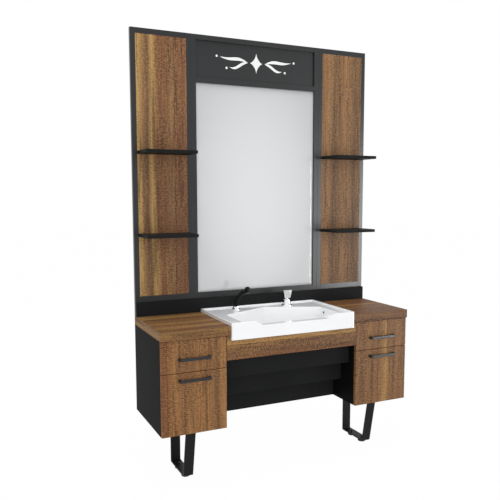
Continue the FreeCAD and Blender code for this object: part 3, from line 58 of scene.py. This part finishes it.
class Signal:
    """An output socket whose arithmetic adds Math nodes."""

    def __init__(self, shader: "Shader", socket: bpy.types.NodeSocket) -> None:
        """Keep the socket and the shader that it belongs to."""
        self.shader = shader
        self.socket = socket

    def _math(self, operation: str, *values: Number) -> "Signal":
        """Add a Math node.

        Args:
            operation: Name of the Math node's operation.
            values: Its inputs in order.

        Returns:
            The node's result.
        """
        return self.shader.node("ShaderNodeMath", {"operation": operation}, dict(enumerate(values)))

    def __add__(self, other: Number) -> "Signal":
        """Sum."""
        return self._math("ADD", self, other)

    def __sub__(self, other: Number) -> "Signal":
        """Difference."""
        return self._math("SUBTRACT", self, other)

    def __rsub__(self, other: Number) -> "Signal":
        """Difference with the operands the other way round."""
        return self._math("SUBTRACT", other, self)

    def __mul__(self, other: Number) -> "Signal":
        """Product."""
        return self._math("MULTIPLY", self, other)

    def __truediv__(self, other: Number) -> "Signal":
        """Quotient."""
        return self._math("DIVIDE", self, other)

    __radd__ = __add__
    __rmul__ = __mul__

    def between(self, low: float, high: float) -> "Signal":
        """Smooth step from 0 at low to 1 at high."""
        return self.shader.node(
            "ShaderNodeMapRange", {"interpolation_type": "SMOOTHSTEP"},
            {"Value": self, "From Min": low, "From Max": high, "To Min": 0.0, "To Max": 1.0})

    def distance(self, centre: float) -> "Signal":
        """Absolute difference from a number."""
        return self._math("ABSOLUTE", self - centre)


class Shader:
    """Node tree of one material around a Principled surface."""

    def __init__(self, name: str) -> None:
        """Make an empty material whose surface is one Principled node."""
        self.material = bpy.data.materials.new(name)
        self.material.use_nodes = True
        self.tree = self.material.node_tree
        self.surface = self.tree.nodes["Principled BSDF"]

    def node(self, kind: str, settings: dict | None = None, inputs: dict | None = None,
             output: Union[int, str] = 0) -> Signal:
        """Add a node.

        Args:
            kind: The node's type.
            settings: Properties that are set before the sockets; "stops" fills a ramp.
            inputs: Socket name or number to a plain value or a Signal.
            output: Name or number of the output that is returned.

        Returns:
            That output.
        """
        made = self.tree.nodes.new(kind)
        for key, value in (settings or {}).items():
            if key == "stops":
                self._fill_ramp(made.color_ramp, value)
            else:
                setattr(made, key, value)
        for key, value in (inputs or {}).items():
            if isinstance(value, Signal):
                self.tree.links.new(value.socket, made.inputs[key])
            else:
                made.inputs[key].default_value = value
        return Signal(self, made.outputs[output])

    @staticmethod
    def _fill_ramp(ramp: bpy.types.ColorRamp, stops: Sequence[tuple[float, Colour]]) -> None:
        """Set a ramp's stops from pairs of place and colour."""
        while len(ramp.elements) < len(stops):
            ramp.elements.new(1.0)
        for element, (place, colour) in zip(ramp.elements, stops):
            element.position = place
            element.color = (*colour, 1.0)

    def place(self, scale: Colour = (1.0, 1.0, 1.0)) -> Signal:
        """Object coordinates, scaled."""
        point = self.node("ShaderNodeTexCoord", output="Object")
        return self.node("ShaderNodeMapping", {"vector_type": "POINT"}, {"Vector": point, "Scale": scale})

    def axis(self, vector: Signal, name: str) -> Signal:
        """One coordinate of a vector, named X, Y or Z."""
        return self.node("ShaderNodeSeparateXYZ", inputs={"Vector": vector}, output=name)

    def vector(self, x: Number, y: Number, z: Number) -> Signal:
        """Vector of three values."""
        return self.node("ShaderNodeCombineXYZ", inputs={"X": x, "Y": y, "Z": z})

    def noise(self, vector: Signal, scale: float, detail: float = 3.0, roughness: float = 0.5,
              distortion: float = 0.0) -> Signal:
        """Noise between 0 and 1."""
        return self.node("ShaderNodeTexNoise", {"noise_dimensions": "3D"},
                         {"Vector": vector, "Scale": scale, "Detail": detail, "Roughness": roughness,
                          "Distortion": distortion})

    def ramp(self, factor: Signal, stops: Sequence[tuple[float, Colour]]) -> Signal:
        """Colour looked up along a ramp."""
        return self.node("ShaderNodeValToRGB", {"stops": stops}, {"Fac": factor})

    def mix(self, factor: Number, low: Union[Signal, Colour], high: Union[Signal, Colour],
            blend: str = "MIX") -> Signal:
        """Blend of two colours.

        Args:
            factor: Share of the second colour.
            low: First colour.
            high: Second colour.
            blend: Name of the blend.

        Returns:
            The blended colour.
        """
        first = low if isinstance(low, Signal) else (*low, 1.0)
        second = high if isinstance(high, Signal) else (*high, 1.0)
        return self.node("ShaderNodeMix", {"data_type": "RGBA", "blend_type": blend},
                         {0: factor, 6: first, 7: second}, output=2)

    def bump(self, height: Signal, distance: float, strength: float = 1.0) -> Signal:
        """Normal of a surface with that height in units of distance metres."""
        return self.node("ShaderNodeBump", inputs={
            "Height": height, "Distance": distance, "Strength": strength})

    def finish(self, **sockets: Union[Signal, float, Colour]) -> bpy.types.Material:
        """Set the Principled sockets, named with underscores for spaces, and return the material."""
        for name, value in sockets.items():
            socket = self.surface.inputs[name.replace("_", " ")]
            if isinstance(value, Signal):
                self.tree.links.new(value.socket, socket)
            elif isinstance(value, tuple):
                socket.default_value = (*value, 1.0)
            else:
                socket.default_value = value
        return self.material


# Finishes


class Grain(Enum):
    """Direction that the wood grain runs in."""

    ALONG = 0
    UPRIGHT = 2


class Tone(Enum):
    """Colours of the wood's bands."""

    GOLD = (0.530, 0.330, 0.125)
    HONEY = (0.370, 0.195, 0.088)
    BROWN = (0.262, 0.137, 0.068)
    RUST = (0.212, 0.091, 0.047)
    SMOKE = (0.158, 0.087, 0.050)


# How often GOLD, HONEY, BROWN, RUST and SMOKE are drawn
BAND_WEIGHTS = (1, 2, 5, 4, 3)
# Least and greatest width of a band in metres
BAND_WIDTHS = (0.018, 0.055)

# Dark and light marks in the wood
UMBER = (0.050, 0.026, 0.017)
AMBER = (0.480, 0.270, 0.115)

# Colours that several pieces share
ZINC = (0.60, 0.61, 0.63)
ZINC_ROUGHNESS = 0.32
CHROME = (0.93, 0.94, 0.95)
HARDBOARD = ((0.17, 0.105, 0.06), (0.24, 0.15, 0.09))
PINE = ((0.50, 0.33, 0.18), (0.66, 0.48, 0.29))


@dataclass(frozen=True)
class Laminate:
    """Plain coloured laminate: a fine stipple over very slight cloudiness."""

    name: str
    colour: Colour
    roughness: float = 0.42
    gloss: float = 0.5

    def material(self) -> bpy.types.Material:
        """Make the finish."""
        shader = Shader(self.name)
        point = shader.place()
        cloud = shader.noise(point, 3.0, 4.0)
        stipple = shader.noise(point, 900.0, 2.0)
        dark = tuple(0.92 * part for part in self.colour)
        light = tuple(1.08 * part for part in self.colour)
        return shader.finish(
            Base_Color=shader.ramp(cloud, ((0.3, dark), (0.7, light))),
            Roughness=self.roughness + 0.08 * (cloud - 0.5) + 0.06 * (stipple - 0.5),
            Normal=shader.bump(stipple, 0.00004),
            Specular_IOR_Level=self.gloss)


@dataclass(frozen=True)
class WoodLaminate:
    """Brown wood laminate: broad bands, fine streaks, short dashes across the grain and one dark check.

    The reach is the first and last place across the grain in metres. Across is X + Y on a board
    with upright grain, and Y + Z on one with grain along X, so that the bands turn round its edges.
    Wander, arch and bend say in metres how far the bands, the ripple and the check stray, and the
    relief is the depth of the surface's bump.
    """

    name: str
    grain: Grain
    reach: tuple[float, float]
    check: float
    seed: float
    ripple: float = 1.0
    tint: Colour = (0.93, 0.92, 0.89)
    wander: float = 0.050
    ripple_length: float = 0.0104
    ripple_arch: float = 0.030
    check_bend: float = 0.030
    relief: float = 0.00022

    def material(self) -> bpy.types.Material:
        """Make the finish.

        The bands are a ramp of drawn tones over the place across the grain, which slow noise pushes
        to and fro. Over them lie broad streaks, fine fibres, slanted dashes and a ripple, strong in
        patches, and one dark check.
        """
        shader = Shader(self.name)
        across, along = self._directions(shader)
        wander = shader.noise(shader.vector(3.5 * across, 1.2 * along, self.seed), 1.0, 2.0) - 0.5
        first, last = self.reach
        place = (across + self.wander * wander - first) / (last - first)
        colour = shader.ramp(place, self._bands(last - first))
        broad = shader.noise(shader.vector(across, 0.045 * along, self.seed), 38.0, 3.0, 0.6, 0.2)
        colour = shader.mix(0.62 * broad.between(0.47, 0.32), colour, UMBER)
        colour = shader.mix(0.32 * broad.between(0.53, 0.70), colour, Tone.GOLD.value)
        fibres = shader.noise(shader.vector(across, 0.030 * along, self.seed + 3.0), 160.0, 3.0, 0.6)
        colour = shader.mix(0.50 * fibres.between(0.47, 0.34), colour, UMBER)
        colour = shader.mix(0.28 * fibres.between(0.54, 0.67), colour, Tone.GOLD.value)
        slant = along + 0.35 * across
        dashes = shader.noise(shader.vector(0.60 * across, slant, self.seed + 5.0), 120.0, 1.0, 0.4, 0.3)
        patch = 0.50 + 0.50 * shader.noise(
            shader.vector(across, 0.25 * along, self.seed + 7.0), 22.0, 2.0).between(0.32, 0.66)
        arch = shader.noise(shader.vector(across, 0.12 * along, self.seed + 11.0), 95.0, 1.0) - 0.5
        phase = (along + self.ripple_arch * arch) * (2.0 * math.pi / self.ripple_length)
        wave = shader.node("ShaderNodeMath", {"operation": "SINE"}, {0: phase})
        dark = patch * (dashes.between(0.52, 0.64) + self.ripple * wave.between(0.1, 0.9))
        light = patch * (dashes.between(0.48, 0.36) + self.ripple * wave.between(-0.1, -0.9))
        colour = shader.mix(0.46 * dark, colour, UMBER)
        colour = shader.mix(0.34 * light, colour, AMBER)
        bend = shader.noise(shader.vector(0.0, along, self.seed), 17.0, 4.0, 0.65) - 0.5
        here = shader.noise(shader.vector(0.0, along, self.seed + 9.0), 9.0, 2.0).between(0.36, 0.46)
        gap = (across + self.check_bend * bend).distance(self.check)
        crack = here * gap.between(0.0030, 0.0010)
        colour = shader.mix(0.70 * crack, colour, UMBER)
        fleck = shader.noise(shader.place(), 420.0, 2.0, 0.7)
        colour = shader.mix(1.0, colour, self.tint, "MULTIPLY")
        height = 0.6 * fibres - 0.5 * dark - 0.5 * crack + 0.15 * fleck
        return shader.finish(
            Base_Color=colour, Roughness=0.52 + 0.14 * dark + 0.10 * (fleck - 0.5),
            Normal=shader.bump(height, self.relief, 0.7), Specular_IOR_Level=0.12)

    def _bands(self, width: float) -> tuple[tuple[float, Colour], ...]:
        """Draw the board's bands, of random widths and tones.

        Args:
            width: Reach across the grain in metres.

        Returns:
            Pairs of a place from 0 to 1 and a colour.
        """
        draw = random.Random(self.seed)
        spot, bands = 0.0, []
        while spot < 1.0:
            bands.append((spot, draw.choices(tuple(Tone), BAND_WEIGHTS)[0].value))
            spot += draw.uniform(*BAND_WIDTHS) / width
        return tuple(bands)

    def _directions(self, shader: "Shader") -> tuple[Signal, Signal]:
        """Places across and along the grain.

        Args:
            shader: The material being made.

        Returns:
            Across and along in metres. On a board along X the end faces carry grain along Y.
        """
        point = shader.place()
        x, y, z = (shader.axis(point, name) for name in "XYZ")
        if self.grain is Grain.UPRIGHT:
            return x + y, z
        normal = shader.node("ShaderNodeTexCoord", output="Normal")
        end = shader.axis(normal, "X").distance(0.0).between(0.5, 0.8)
        return z + y * (1.0 - end), x + (y - x) * end


@dataclass(frozen=True)
class MirrorGlass:
    """Pale silvered glass with a painted reflection that greys softly from its middle to its corners, and
    painted shade at its top.
    """

    name: str
    middle: tuple[float, float]
    half: tuple[float, float]
    # The bright middle and grey corners are a painted reflection, and top_shade is painted shade towards the
    # top.
    painted_bright_middle: Colour = (0.790, 0.797, 0.805)
    painted_grey_corners: Colour = (0.645, 0.652, 0.660)
    fade_end: float = 0.65
    top_shade: float = 0.85
    bevel: tuple[float, float] = (0.966, 0.972)
    reflection: float = 0.13

    def material(self) -> bpy.types.Material:
        """Make the finish; the painted greying follows the squared distance from the middle in half-sizes."""
        shader = Shader(self.name)
        point = shader.place()
        across = (shader.axis(point, "X") - self.middle[0]) / self.half[0]
        up = (shader.axis(point, "Z") - self.middle[1]) / self.half[1]
        away = across * across + up * up
        dust = shader.noise(point, 5.0, 2.0)
        colour = shader.ramp(0.5 * away + 0.02 * dust, ((0.0, self.painted_bright_middle), (self.fade_end, self.painted_grey_corners)))
        # Painted shade: the glass darkens towards its top.
        shade = shader.ramp(0.5 + 0.5 * up, ((0.0, (1.0,) * 3), (1.0, (self.top_shade,) * 3)))
        colour = shader.mix(1.0, colour, shade, "MULTIPLY")
        bevel = across.distance(0.0).between(*self.bevel)
        return shader.finish(
            Base_Color=colour, Metallic=self.reflection * (1.0 - bevel),
            Roughness=0.09 + 0.03 * dust + 0.6 * bevel,
            Specular_IOR_Level=0.3)


@dataclass(frozen=True)
class Glaze:
    """White glazed ceramic: an even white with a wet coat and the faint waviness of a fired glaze."""

    name: str
    shade: Colour = (0.885, 0.895, 0.905)
    white: Colour = (0.905, 0.912, 0.920)

    def material(self) -> bpy.types.Material:
        """Make the finish."""
        shader = Shader(self.name)
        point = shader.place()
        cloud = shader.noise(point, 5.0, 2.0)
        wave = shader.noise(point, 30.0, 1.0)
        return shader.finish(
            Base_Color=shader.ramp(cloud, ((0.35, self.shade), (0.65, self.white))),
            Roughness=0.10 + 0.05 * cloud, Normal=shader.bump(wave, 0.00015, 0.5),
            Coat_Weight=0.5, Coat_Roughness=0.04)


@dataclass(frozen=True)
class Plated:
    """Metal plate: polished, or brushed along X when rough."""

    name: str
    colour: Colour
    roughness: float

    def material(self) -> bpy.types.Material:
        """Make the finish."""
        shader = Shader(self.name)
        brushed = shader.noise(shader.place((8.0, 400.0, 400.0)), 1.0, 3.0)
        cloud = shader.noise(shader.place(), 20.0, 3.0)
        dark = tuple(0.88 * part for part in self.colour)
        return shader.finish(
            Base_Color=shader.ramp(cloud, ((0.3, dark), (0.7, self.colour))), Metallic=1.0,
            Roughness=self.roughness * (0.7 + 0.6 * cloud),
            Normal=shader.bump(brushed, 0.00003 * self.roughness, 0.6))


@dataclass(frozen=True)
class PowderCoat:
    """Fine-textured powder coat: an orange-peel bump and a soft sheen."""

    name: str
    colour: Colour
    roughness: float = 0.42
    gloss: float = 0.10

    def material(self) -> bpy.types.Material:
        """Make the finish."""
        shader = Shader(self.name)
        point = shader.place()
        peel = shader.noise(point, 700.0, 2.0)
        cloud = shader.noise(point, 12.0, 3.0)
        light = tuple(1.25 * part for part in self.colour)
        return shader.finish(
            Base_Color=shader.ramp(cloud, ((0.3, self.colour), (0.7, light))),
            Roughness=self.roughness + 0.12 * (cloud - 0.5), Normal=shader.bump(peel, 0.00006),
            Specular_IOR_Level=self.gloss)


@dataclass(frozen=True)
class Plastic:
    """Moulded plastic with a faint mould texture."""

    name: str
    colour: Colour
    roughness: float = 0.35
    gloss: float = 0.5

    def material(self) -> bpy.types.Material:
        """Make the finish."""
        shader = Shader(self.name)
        point = shader.place()
        grain = shader.noise(point, 1200.0, 1.0)
        cloud = shader.noise(point, 15.0, 2.0)
        light = tuple(1.12 * part for part in self.colour)
        return shader.finish(
            Base_Color=shader.ramp(cloud, ((0.35, self.colour), (0.65, light))),
            Roughness=self.roughness + 0.08 * (cloud - 0.5), Normal=shader.bump(grain, 0.00001),
            Specular_IOR_Level=self.gloss)


@dataclass(frozen=True)
class RawBoard:
    """Bare wood or fibre: fibres pressed along one axis over cloudy colour."""

    name: str
    dark: Colour
    light: Colour
    grain: Grain = Grain.ALONG

    def material(self) -> bpy.types.Material:
        """Make the finish."""
        shader = Shader(self.name)
        pressed = [1.0, 1.0, 1.0]
        pressed[self.grain.value] = 0.05
        fibres = shader.noise(shader.place(tuple(pressed)), 240.0, 4.0, 0.6)
        cloud = shader.noise(shader.place(), 14.0, 3.0)
        return shader.finish(
            Base_Color=shader.ramp(0.6 * fibres + 0.4 * cloud, ((0.35, self.dark), (0.65, self.light))),
            Roughness=0.62 + 0.2 * (fibres - 0.5), Normal=shader.bump(fibres, 0.0001))


# Surfaces


def add_mesh(name: str, points: np.ndarray, faces: np.ndarray,
             material: bpy.types.Material) -> bpy.types.Object:
    """Put points and four-sided faces into a flat-shaded mesh object at the origin.

    Args:
        name: Name of the piece.
        points: Array of places, one per row.
        faces: Array of corner numbers, one face per row.
        material: Finish of the whole piece.

    Returns:
        The new object.
    """
    mesh = bpy.data.meshes.new(name)
    mesh.from_pydata(points.reshape(-1, 3).tolist(), [], faces.tolist())
    mesh.polygons.foreach_set("use_smooth", np.full(len(mesh.polygons), False))
    mesh.materials.append(material)
    mesh.update()
    piece = bpy.data.objects.new(name, mesh)
    bpy.context.scene.collection.objects.link(piece)
    return piece


def grid_faces(rows: int, columns: int) -> np.ndarray:
    """Quads of a grid whose point (i, j) has number i * columns + j.

    Args:
        rows: Number of rows of points.
        columns: Number of points in a row.

    Returns:
        One quad per row of the array.
    """
    i = np.arange(rows - 1)[:, None]
    j = np.arange(columns - 1)[None, :]
    first, after = i * columns + j, (i + 1) * columns + j
    corners = (first, first + 1, after + 1, after)
    return np.stack([np.broadcast_to(c, (i.size, j.size)).ravel() for c in corners], axis=1)


# The stage


@dataclass
class Studio:
    """Pale floor, plain light and the camera."""

    eye: Colour = (-1.7279, -3.4123, 1.6064)
    gaze: Colour = (0.43067, 0.89630, -0.10567)
    lens: float = 45.68
    shift: tuple[float, float] = (-0.025, 0.025)
    floor_colour: float = 0.72
    floor_reach: float = 40.0
    floor_glow: float = 0.985
    world_light: float = 0.80
    world_tint: Colour = (0.985, 0.992, 1.0)
    key_watts: float = 125.0
    fill_watts: float = 32.0
    sheen_watts: float = 175.0
    sheen_height: float = 2.0

    def build(self) -> None:
        """Make the whole stage."""
        self._camera()
        self._floor()
        self._world()
        key = self._lamp("key_lamp", (-0.8, -1.2, 6.5), (0.0, 0.0, 0.9), 2.6, self.key_watts)
        fill = self._lamp("fill_lamp", (-0.6, -4.2, 1.3), (0.0, 0.0, 1.2), 2.0, self.fill_watts)
        sheen = self._lamp("sheen_lamp", (3.15, -2.75, 1.05), (0.6, 0.25, 1.4), 1.0, self.sheen_watts)
        sheen.data.shape = "RECTANGLE"
        sheen.data.size_y = self.sheen_height
        key.visible_glossy = fill.visible_glossy = sheen.visible_diffuse = False

    def _camera(self) -> None:
        """Place the camera at the eye, looking along the gaze."""
        data = bpy.data.cameras.new("camera")
        data.lens = self.lens
        data.sensor_width = 36.0
        data.shift_x, data.shift_y = self.shift
        camera = bpy.data.objects.new("camera", data)
        camera.location = self.eye
        camera.rotation_euler = Vector(self.gaze).to_track_quat("-Z", "Y").to_euler()
        bpy.context.scene.collection.objects.link(camera)
        bpy.context.scene.camera = camera

    def _floor(self) -> None:
        """Floor that a straight look or a reflection sees as nearly plain white, with a soft shadow."""
        shader = Shader("floor")
        cloud = shader.noise(shader.place(), 0.8, 2.0)
        shader.finish(
            Base_Color=shader.ramp(cloud, (
                (0.3, (self.floor_colour,) * 3), (0.7, (self.floor_colour + 0.02,) * 3))),
            Roughness=0.9)
        path = "ShaderNodeLightPath"
        seen = shader.node(path, output="Is Camera Ray") + shader.node(path, output="Is Glossy Ray")
        seen = seen + shader.node(path, output="Is Transmission Ray")
        glow = shader.node("ShaderNodeEmission", inputs={"Color": (1.0, 1.0, 1.0, 1.0), "Strength": 1.0})
        body = Signal(shader, shader.surface.outputs[0])
        both = shader.node("ShaderNodeMixShader", inputs={0: self.floor_glow * seen, 1: body, 2: glow})
        shader.tree.links.new(both.socket, shader.tree.nodes["Material Output"].inputs["Surface"])
        reach = self.floor_reach
        corners = np.array([
            (-reach, -reach, 0.0), (reach, -reach, 0.0), (reach, reach, 0.0), (-reach, reach, 0.0)])
        add_mesh("floor", corners, np.array([[0, 1, 2, 3]]), shader.material)

    def _world(self) -> None:
        """White surroundings, weaker as light than they look."""
        world = bpy.data.worlds.new("studio")
        bpy.context.scene.world = world
        world.use_nodes = True
        tree = world.node_tree
        tree.nodes.clear()
        path = tree.nodes.new("ShaderNodeLightPath")
        total = tree.nodes.new("ShaderNodeMath")
        tree.links.new(path.outputs["Is Camera Ray"], total.inputs[0])
        tree.links.new(path.outputs["Is Glossy Ray"], total.inputs[1])
        more = tree.nodes.new("ShaderNodeMath")
        more.use_clamp = True
        tree.links.new(total.outputs[0], more.inputs[0])
        tree.links.new(path.outputs["Is Transmission Ray"], more.inputs[1])
        light = tree.nodes.new("ShaderNodeBackground")
        light.inputs["Color"].default_value = (*self.world_tint, 1.0)
        light.inputs["Strength"].default_value = self.world_light
        seen = tree.nodes.new("ShaderNodeBackground")
        seen.inputs["Color"].default_value = (1.0, 1.0, 1.0, 1.0)
        seen.inputs["Strength"].default_value = 1.0
        both = tree.nodes.new("ShaderNodeMixShader")
        tree.links.new(more.outputs[0], both.inputs[0])
        tree.links.new(light.outputs[0], both.inputs[1])
        tree.links.new(seen.outputs[0], both.inputs[2])
        out = tree.nodes.new("ShaderNodeOutputWorld")
        tree.links.new(both.outputs[0], out.inputs["Surface"])

    def _lamp(self, name: str, spot: Colour, target: Colour, size: float, power: float) -> bpy.types.Object:
        """Hang a square lamp.

        Args:
            name: Name of the lamp.
            spot: Its place.
            target: The place that it faces.
            size: Length of its side in metres.
            power: Power in watts.

        Returns:
            The lamp.
        """
        data = bpy.data.lights.new(name, "AREA")
        data.energy = power
        data.size = size
        lamp = bpy.data.objects.new(name, data)
        lamp.location = spot
        lamp.rotation_euler = (Vector(target) - Vector(spot)).to_track_quat("-Z", "Y").to_euler()
        bpy.context.scene.collection.objects.link(lamp)
        return lamp


# The station


def dress(nodes: Iterable[str], material: bpy.types.Material) -> None:
    """Give CAD nodes a finish."""
    for name in nodes:
        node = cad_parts[name]
        node.data.materials.clear()
        node.data.materials.append(material)


SIDES = ("left", "right")
LEVELS = ("upper", "lower")
DRAWERS = tuple(side + "_" + level + "_drawer_" for side in SIDES for level in LEVELS)


@dataclass
class WallFrames:
    """The three frames on the counter, with their panels, mirror and shelves."""

    frame_colour: Colour = (0.024, 0.025, 0.026)
    left_reach: tuple[float, float] = (-0.50, -0.22)
    right_reach: tuple[float, float] = (0.73, 1.02)

    def dress(self, black: bpy.types.Material) -> None:
        """Give the frames' pieces their finishes.

        Args:
            black: Finish of the shelves, which the backsplash and the cover share.
        """
        anthracite = Laminate("anthracite_laminate", self.frame_colour, 0.34, 0.26).material()
        dress(("left_frame", "right_frame", "centre_frame", "header_panel"), anthracite)
        dress(("left_panel",), WoodLaminate(
            "left_panel_wood", Grain.UPRIGHT, self.left_reach, -0.290, 2.3, 0.35).material())
        dress(("right_panel",), WoodLaminate(
            "right_panel_wood", Grain.UPRIGHT, self.right_reach, 0.915, 8.1, 0.45).material())
        dress(("left_shelves", "right_shelves", "backsplash"), black)
        low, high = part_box("mirror")
        dress(("mirror",), MirrorGlass(
            "mirror_glass", ((low.x + high.x) / 2, 0.46 * low.z + 0.54 * high.z),
            ((high.x - low.x) / 2, 0.54 * (high.z - low.z))).material())
        dress(("shelf_pins", "hanger_plates"), Plated("zinc_plate", ZINC, ZINC_ROUGHNESS).material())
        dress(("back_boards",), RawBoard("hardboard", *HARDBOARD).material())


@dataclass
class HeaderOrnament:
    """Flat white ornament on the header panel: a pointed star between two pairs of leaves, with dots."""

    middle: tuple[float, float] = (-0.005, 2.420)
    thickness: float = 0.0012
    star: tuple[float, float] = (0.044, 0.060)
    leaves: tuple[tuple[float, float, float], ...] = (
        (0.058, 0.245, 0.022), (0.058, 0.180, -0.036))
    leaf_width: float = 0.0095
    leaf_wave: float = 0.006
    dots: tuple[tuple[float, float], ...] = ((0.264, 0.024), (0.200, -0.042))
    dot_radius: float = 0.0070

    def build(self, white: bpy.types.Material) -> None:
        """Make the pieces and let them ride on the station.

        Args:
            white: Finish of all of them.
        """
        steps = np.linspace(0.0, 1.0, 49)
        swing = np.cos(np.pi * steps)
        width, height = self.star
        pieces = {"header_star": (
            -width * swing, 0.0 * steps, height * (1.0 - np.abs(swing) ** (2 / 3)) ** 1.5)}
        for side, sign in (("left", -1.0), ("right", 1.0)):
            for number, (start, end, lift) in enumerate(self.leaves, start=1):
                bow = lift * np.sin(0.5 * np.pi * steps) + self.leaf_wave * np.sin(2.0 * np.pi * steps)
                pieces["header_leaf_%s_%d" % (side, number)] = (
                    sign * (start + (end - start) * steps), bow,
                    self.leaf_width * np.sin(np.pi * steps) ** 0.8 * (1.25 - 0.5 * steps))
            for number, (x, z) in enumerate(self.dots, start=1):
                pieces["header_dot_%s_%d" % (side, number)] = (
                    sign * x - self.dot_radius * swing, z + 0.0 * steps,
                    self.dot_radius * np.sin(np.pi * steps))
        for name, (x, z, half) in pieces.items():
            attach(self._plate(name, x, z, half, white), "station")

    def _plate(self, name: str, x: np.ndarray, z: np.ndarray, half: np.ndarray,
               white: bpy.types.Material) -> bpy.types.Object:
        """Thin plate on the header panel's face.

        Args:
            name: Name of the piece.
            x: Places along the plate, from the ornament's middle.
            z: Height of its middle line at each place.
            half: Half of its height at each place.
            white: Finish.

        Returns:
            The plate: at each place the four corners (x, back, z + half), (x, front, z + half),
            (x, front, z - half) and (x, back, z - half).
        """
        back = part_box("header_panel")[0].y
        front = back - self.thickness
        across = self.middle[0] + x
        upper, lower = self.middle[1] + z + half, self.middle[1] + z - half
        corners = [np.stack([across, np.full_like(x, depth), level], axis=1) for depth, level in (
            (back, upper), (front, upper), (front, lower), (back, lower))]
        faces = grid_faces(len(x), 4)
        if x[-1] < x[0]:
            faces = faces[:, ::-1]
        return add_mesh(name, np.stack(corners, axis=1), faces, white)


@dataclass
class Counter:
    """The wooden counter boards and the apron."""

    left_reach: tuple[float, float] = (0.60, 1.14)
    right_reach: tuple[float, float] = (0.60, 1.14)
    apron_reach: tuple[float, float] = (0.45, 0.62)
    board_tint: Colour = (0.62, 0.56, 0.50)
    apron_tint: Colour = (0.84, 0.76, 0.66)

    def dress(self) -> None:
        """Give the boards their finishes."""
        for node, reach, check, seed, tint in (
                ("left_countertop", self.left_reach, 0.815, 4.4, self.board_tint),
                ("right_countertop", self.right_reach, 0.700, 6.9, self.board_tint),
                ("apron", self.apron_reach, 0.535, 1.7, self.apron_tint)):
            dress((node,), WoodLaminate(
                node + "_wood", Grain.ALONG, reach, check, seed, 0.6, tint).material())
        dress(("apron_cleats",), RawBoard("pine", *PINE, Grain.UPRIGHT).material())


@dataclass
class Basin:
    """The apron basin with its waste, trap and brackets."""

    def dress(self) -> None:
        """Give the basin's pieces their finishes."""
        dress(("sink",), Glaze("white_glaze").material())
        dress(("basin_waste",), Plated("waste_chrome", CHROME, 0.30).material())
        dress(("bottle_trap",), Plastic("white_plastic", (0.78, 0.78, 0.77), 0.3).material())
        dress(("sink_brackets",), Plated("bracket_zinc", ZINC, ZINC_ROUGHNESS).material())


@dataclass
class Fittings:
    """The tap and the hand spray."""

    spray_colour: Colour = (0.0045, 0.0045, 0.005)

    def dress(self, chrome: bpy.types.Material) -> None:
        """Give the fittings their finishes.

        Args:
            chrome: Finish of the tap, the holder and the nozzle.
        """
        dress(("tap_body", "tap_stem", "tap_lever", "spray_holder", "spray_nozzle"), chrome)
        dress(("hand_spray",), Plastic("spray_plastic", self.spray_colour, 0.38, 0.12).material())


@dataclass
class Pedestals:
    """The two drawer pedestals, the cover between them, the legs and the feet."""

    left_reach: tuple[float, float] = (-1.04, -0.67)
    right_reach: tuple[float, float] = (0.17, 0.56)

    def dress(self, black: bpy.types.Material, painted_shade_black: bpy.types.Material) -> None:
        """Give the pedestals' pieces their finishes.

        Args:
            black: Finish of the cover and the rails.
            painted_shade_black: Finish of the pedestals' boards: the black laminate darkened to paint the
                shade on them.
        """
        dress(("plumbing_cover", "rear_rails"), black)
        # The pedestals' boards take the black laminate darkened as painted shade.
        dress(("left_outer_side", "right_outer_side", "left_inner_side", "right_inner_side",
               "pedestal_bottoms", "pedestal_rails"), painted_shade_black)
        for side, reach, check, seed in (
                ("left", self.left_reach, -0.826, 5.2), ("right", self.right_reach, 0.345, 9.6)):
            fronts = WoodLaminate(
                side + "_front_wood", Grain.UPRIGHT, reach, check, seed, 1.0, (0.88, 0.79, 0.67)).material()
            dress([side + "_" + level + "_drawer_front" for level in LEVELS], fronts)
        dress(("left_leg", "right_leg"), PowderCoat("black_powder_coat", (0.0110, 0.0113, 0.0115)).material())
        dress([name + "handle" for name in DRAWERS],
              PowderCoat("handle_powder_coat", (0.012, 0.0145, 0.016), 0.34, 0.36).material())
        zinc = Plated("runner_zinc", ZINC, ZINC_ROUGHNESS).material()
        dress(["leg_screws", "fixed_slides"] + [name + "slides" for name in DRAWERS], zinc)
        dress([side + "_" + end + "_foot" for side in SIDES for end in ("front", "rear")],
              Plastic("foot_plastic", (0.016, 0.016, 0.017)).material())
        dress([name + "box" for name in DRAWERS],
              Laminate("drawer_laminate", (0.38, 0.38, 0.38), 0.5).material())
        dress(("pedestal_backs",),
              RawBoard("pedestal_hardboard", *HARDBOARD).material())


def main() -> None:
    """Build the stage and the station."""
    logging.basicConfig(level=logging.INFO, format="%(message)s")
    bpy.context.scene.view_settings.view_transform = "Standard"
    Studio().build()
    LOG.info("studio built")
    black = Laminate("black_laminate", (0.0170, 0.0174, 0.0176), 0.42, 0.012).material()
    # Painted shade: a darker copy of the black laminate, which paints the shade on the pedestals' boards.
    painted_shade_black = Laminate("black_laminate_painted_shade", (0.0070, 0.0072, 0.0073), 0.42, 0.008).material()
    chrome = Plated("chrome_plate", CHROME, 0.07).material()
    WallFrames().dress(black)
    LOG.info("wall frames dressed")
    HeaderOrnament().build(Laminate("ornament_white", (0.88, 0.88, 0.88), 0.4).material())
    LOG.info("header ornament built")
    Counter().dress()
    LOG.info("counter dressed")
    Basin().dress()
    LOG.info("basin dressed")
    Fittings().dress(chrome)
    LOG.info("tap and spray dressed")
    Pedestals().dress(black, painted_shade_black)
    LOG.info("pedestals dressed")


if __name__ == "__main__":
    main()
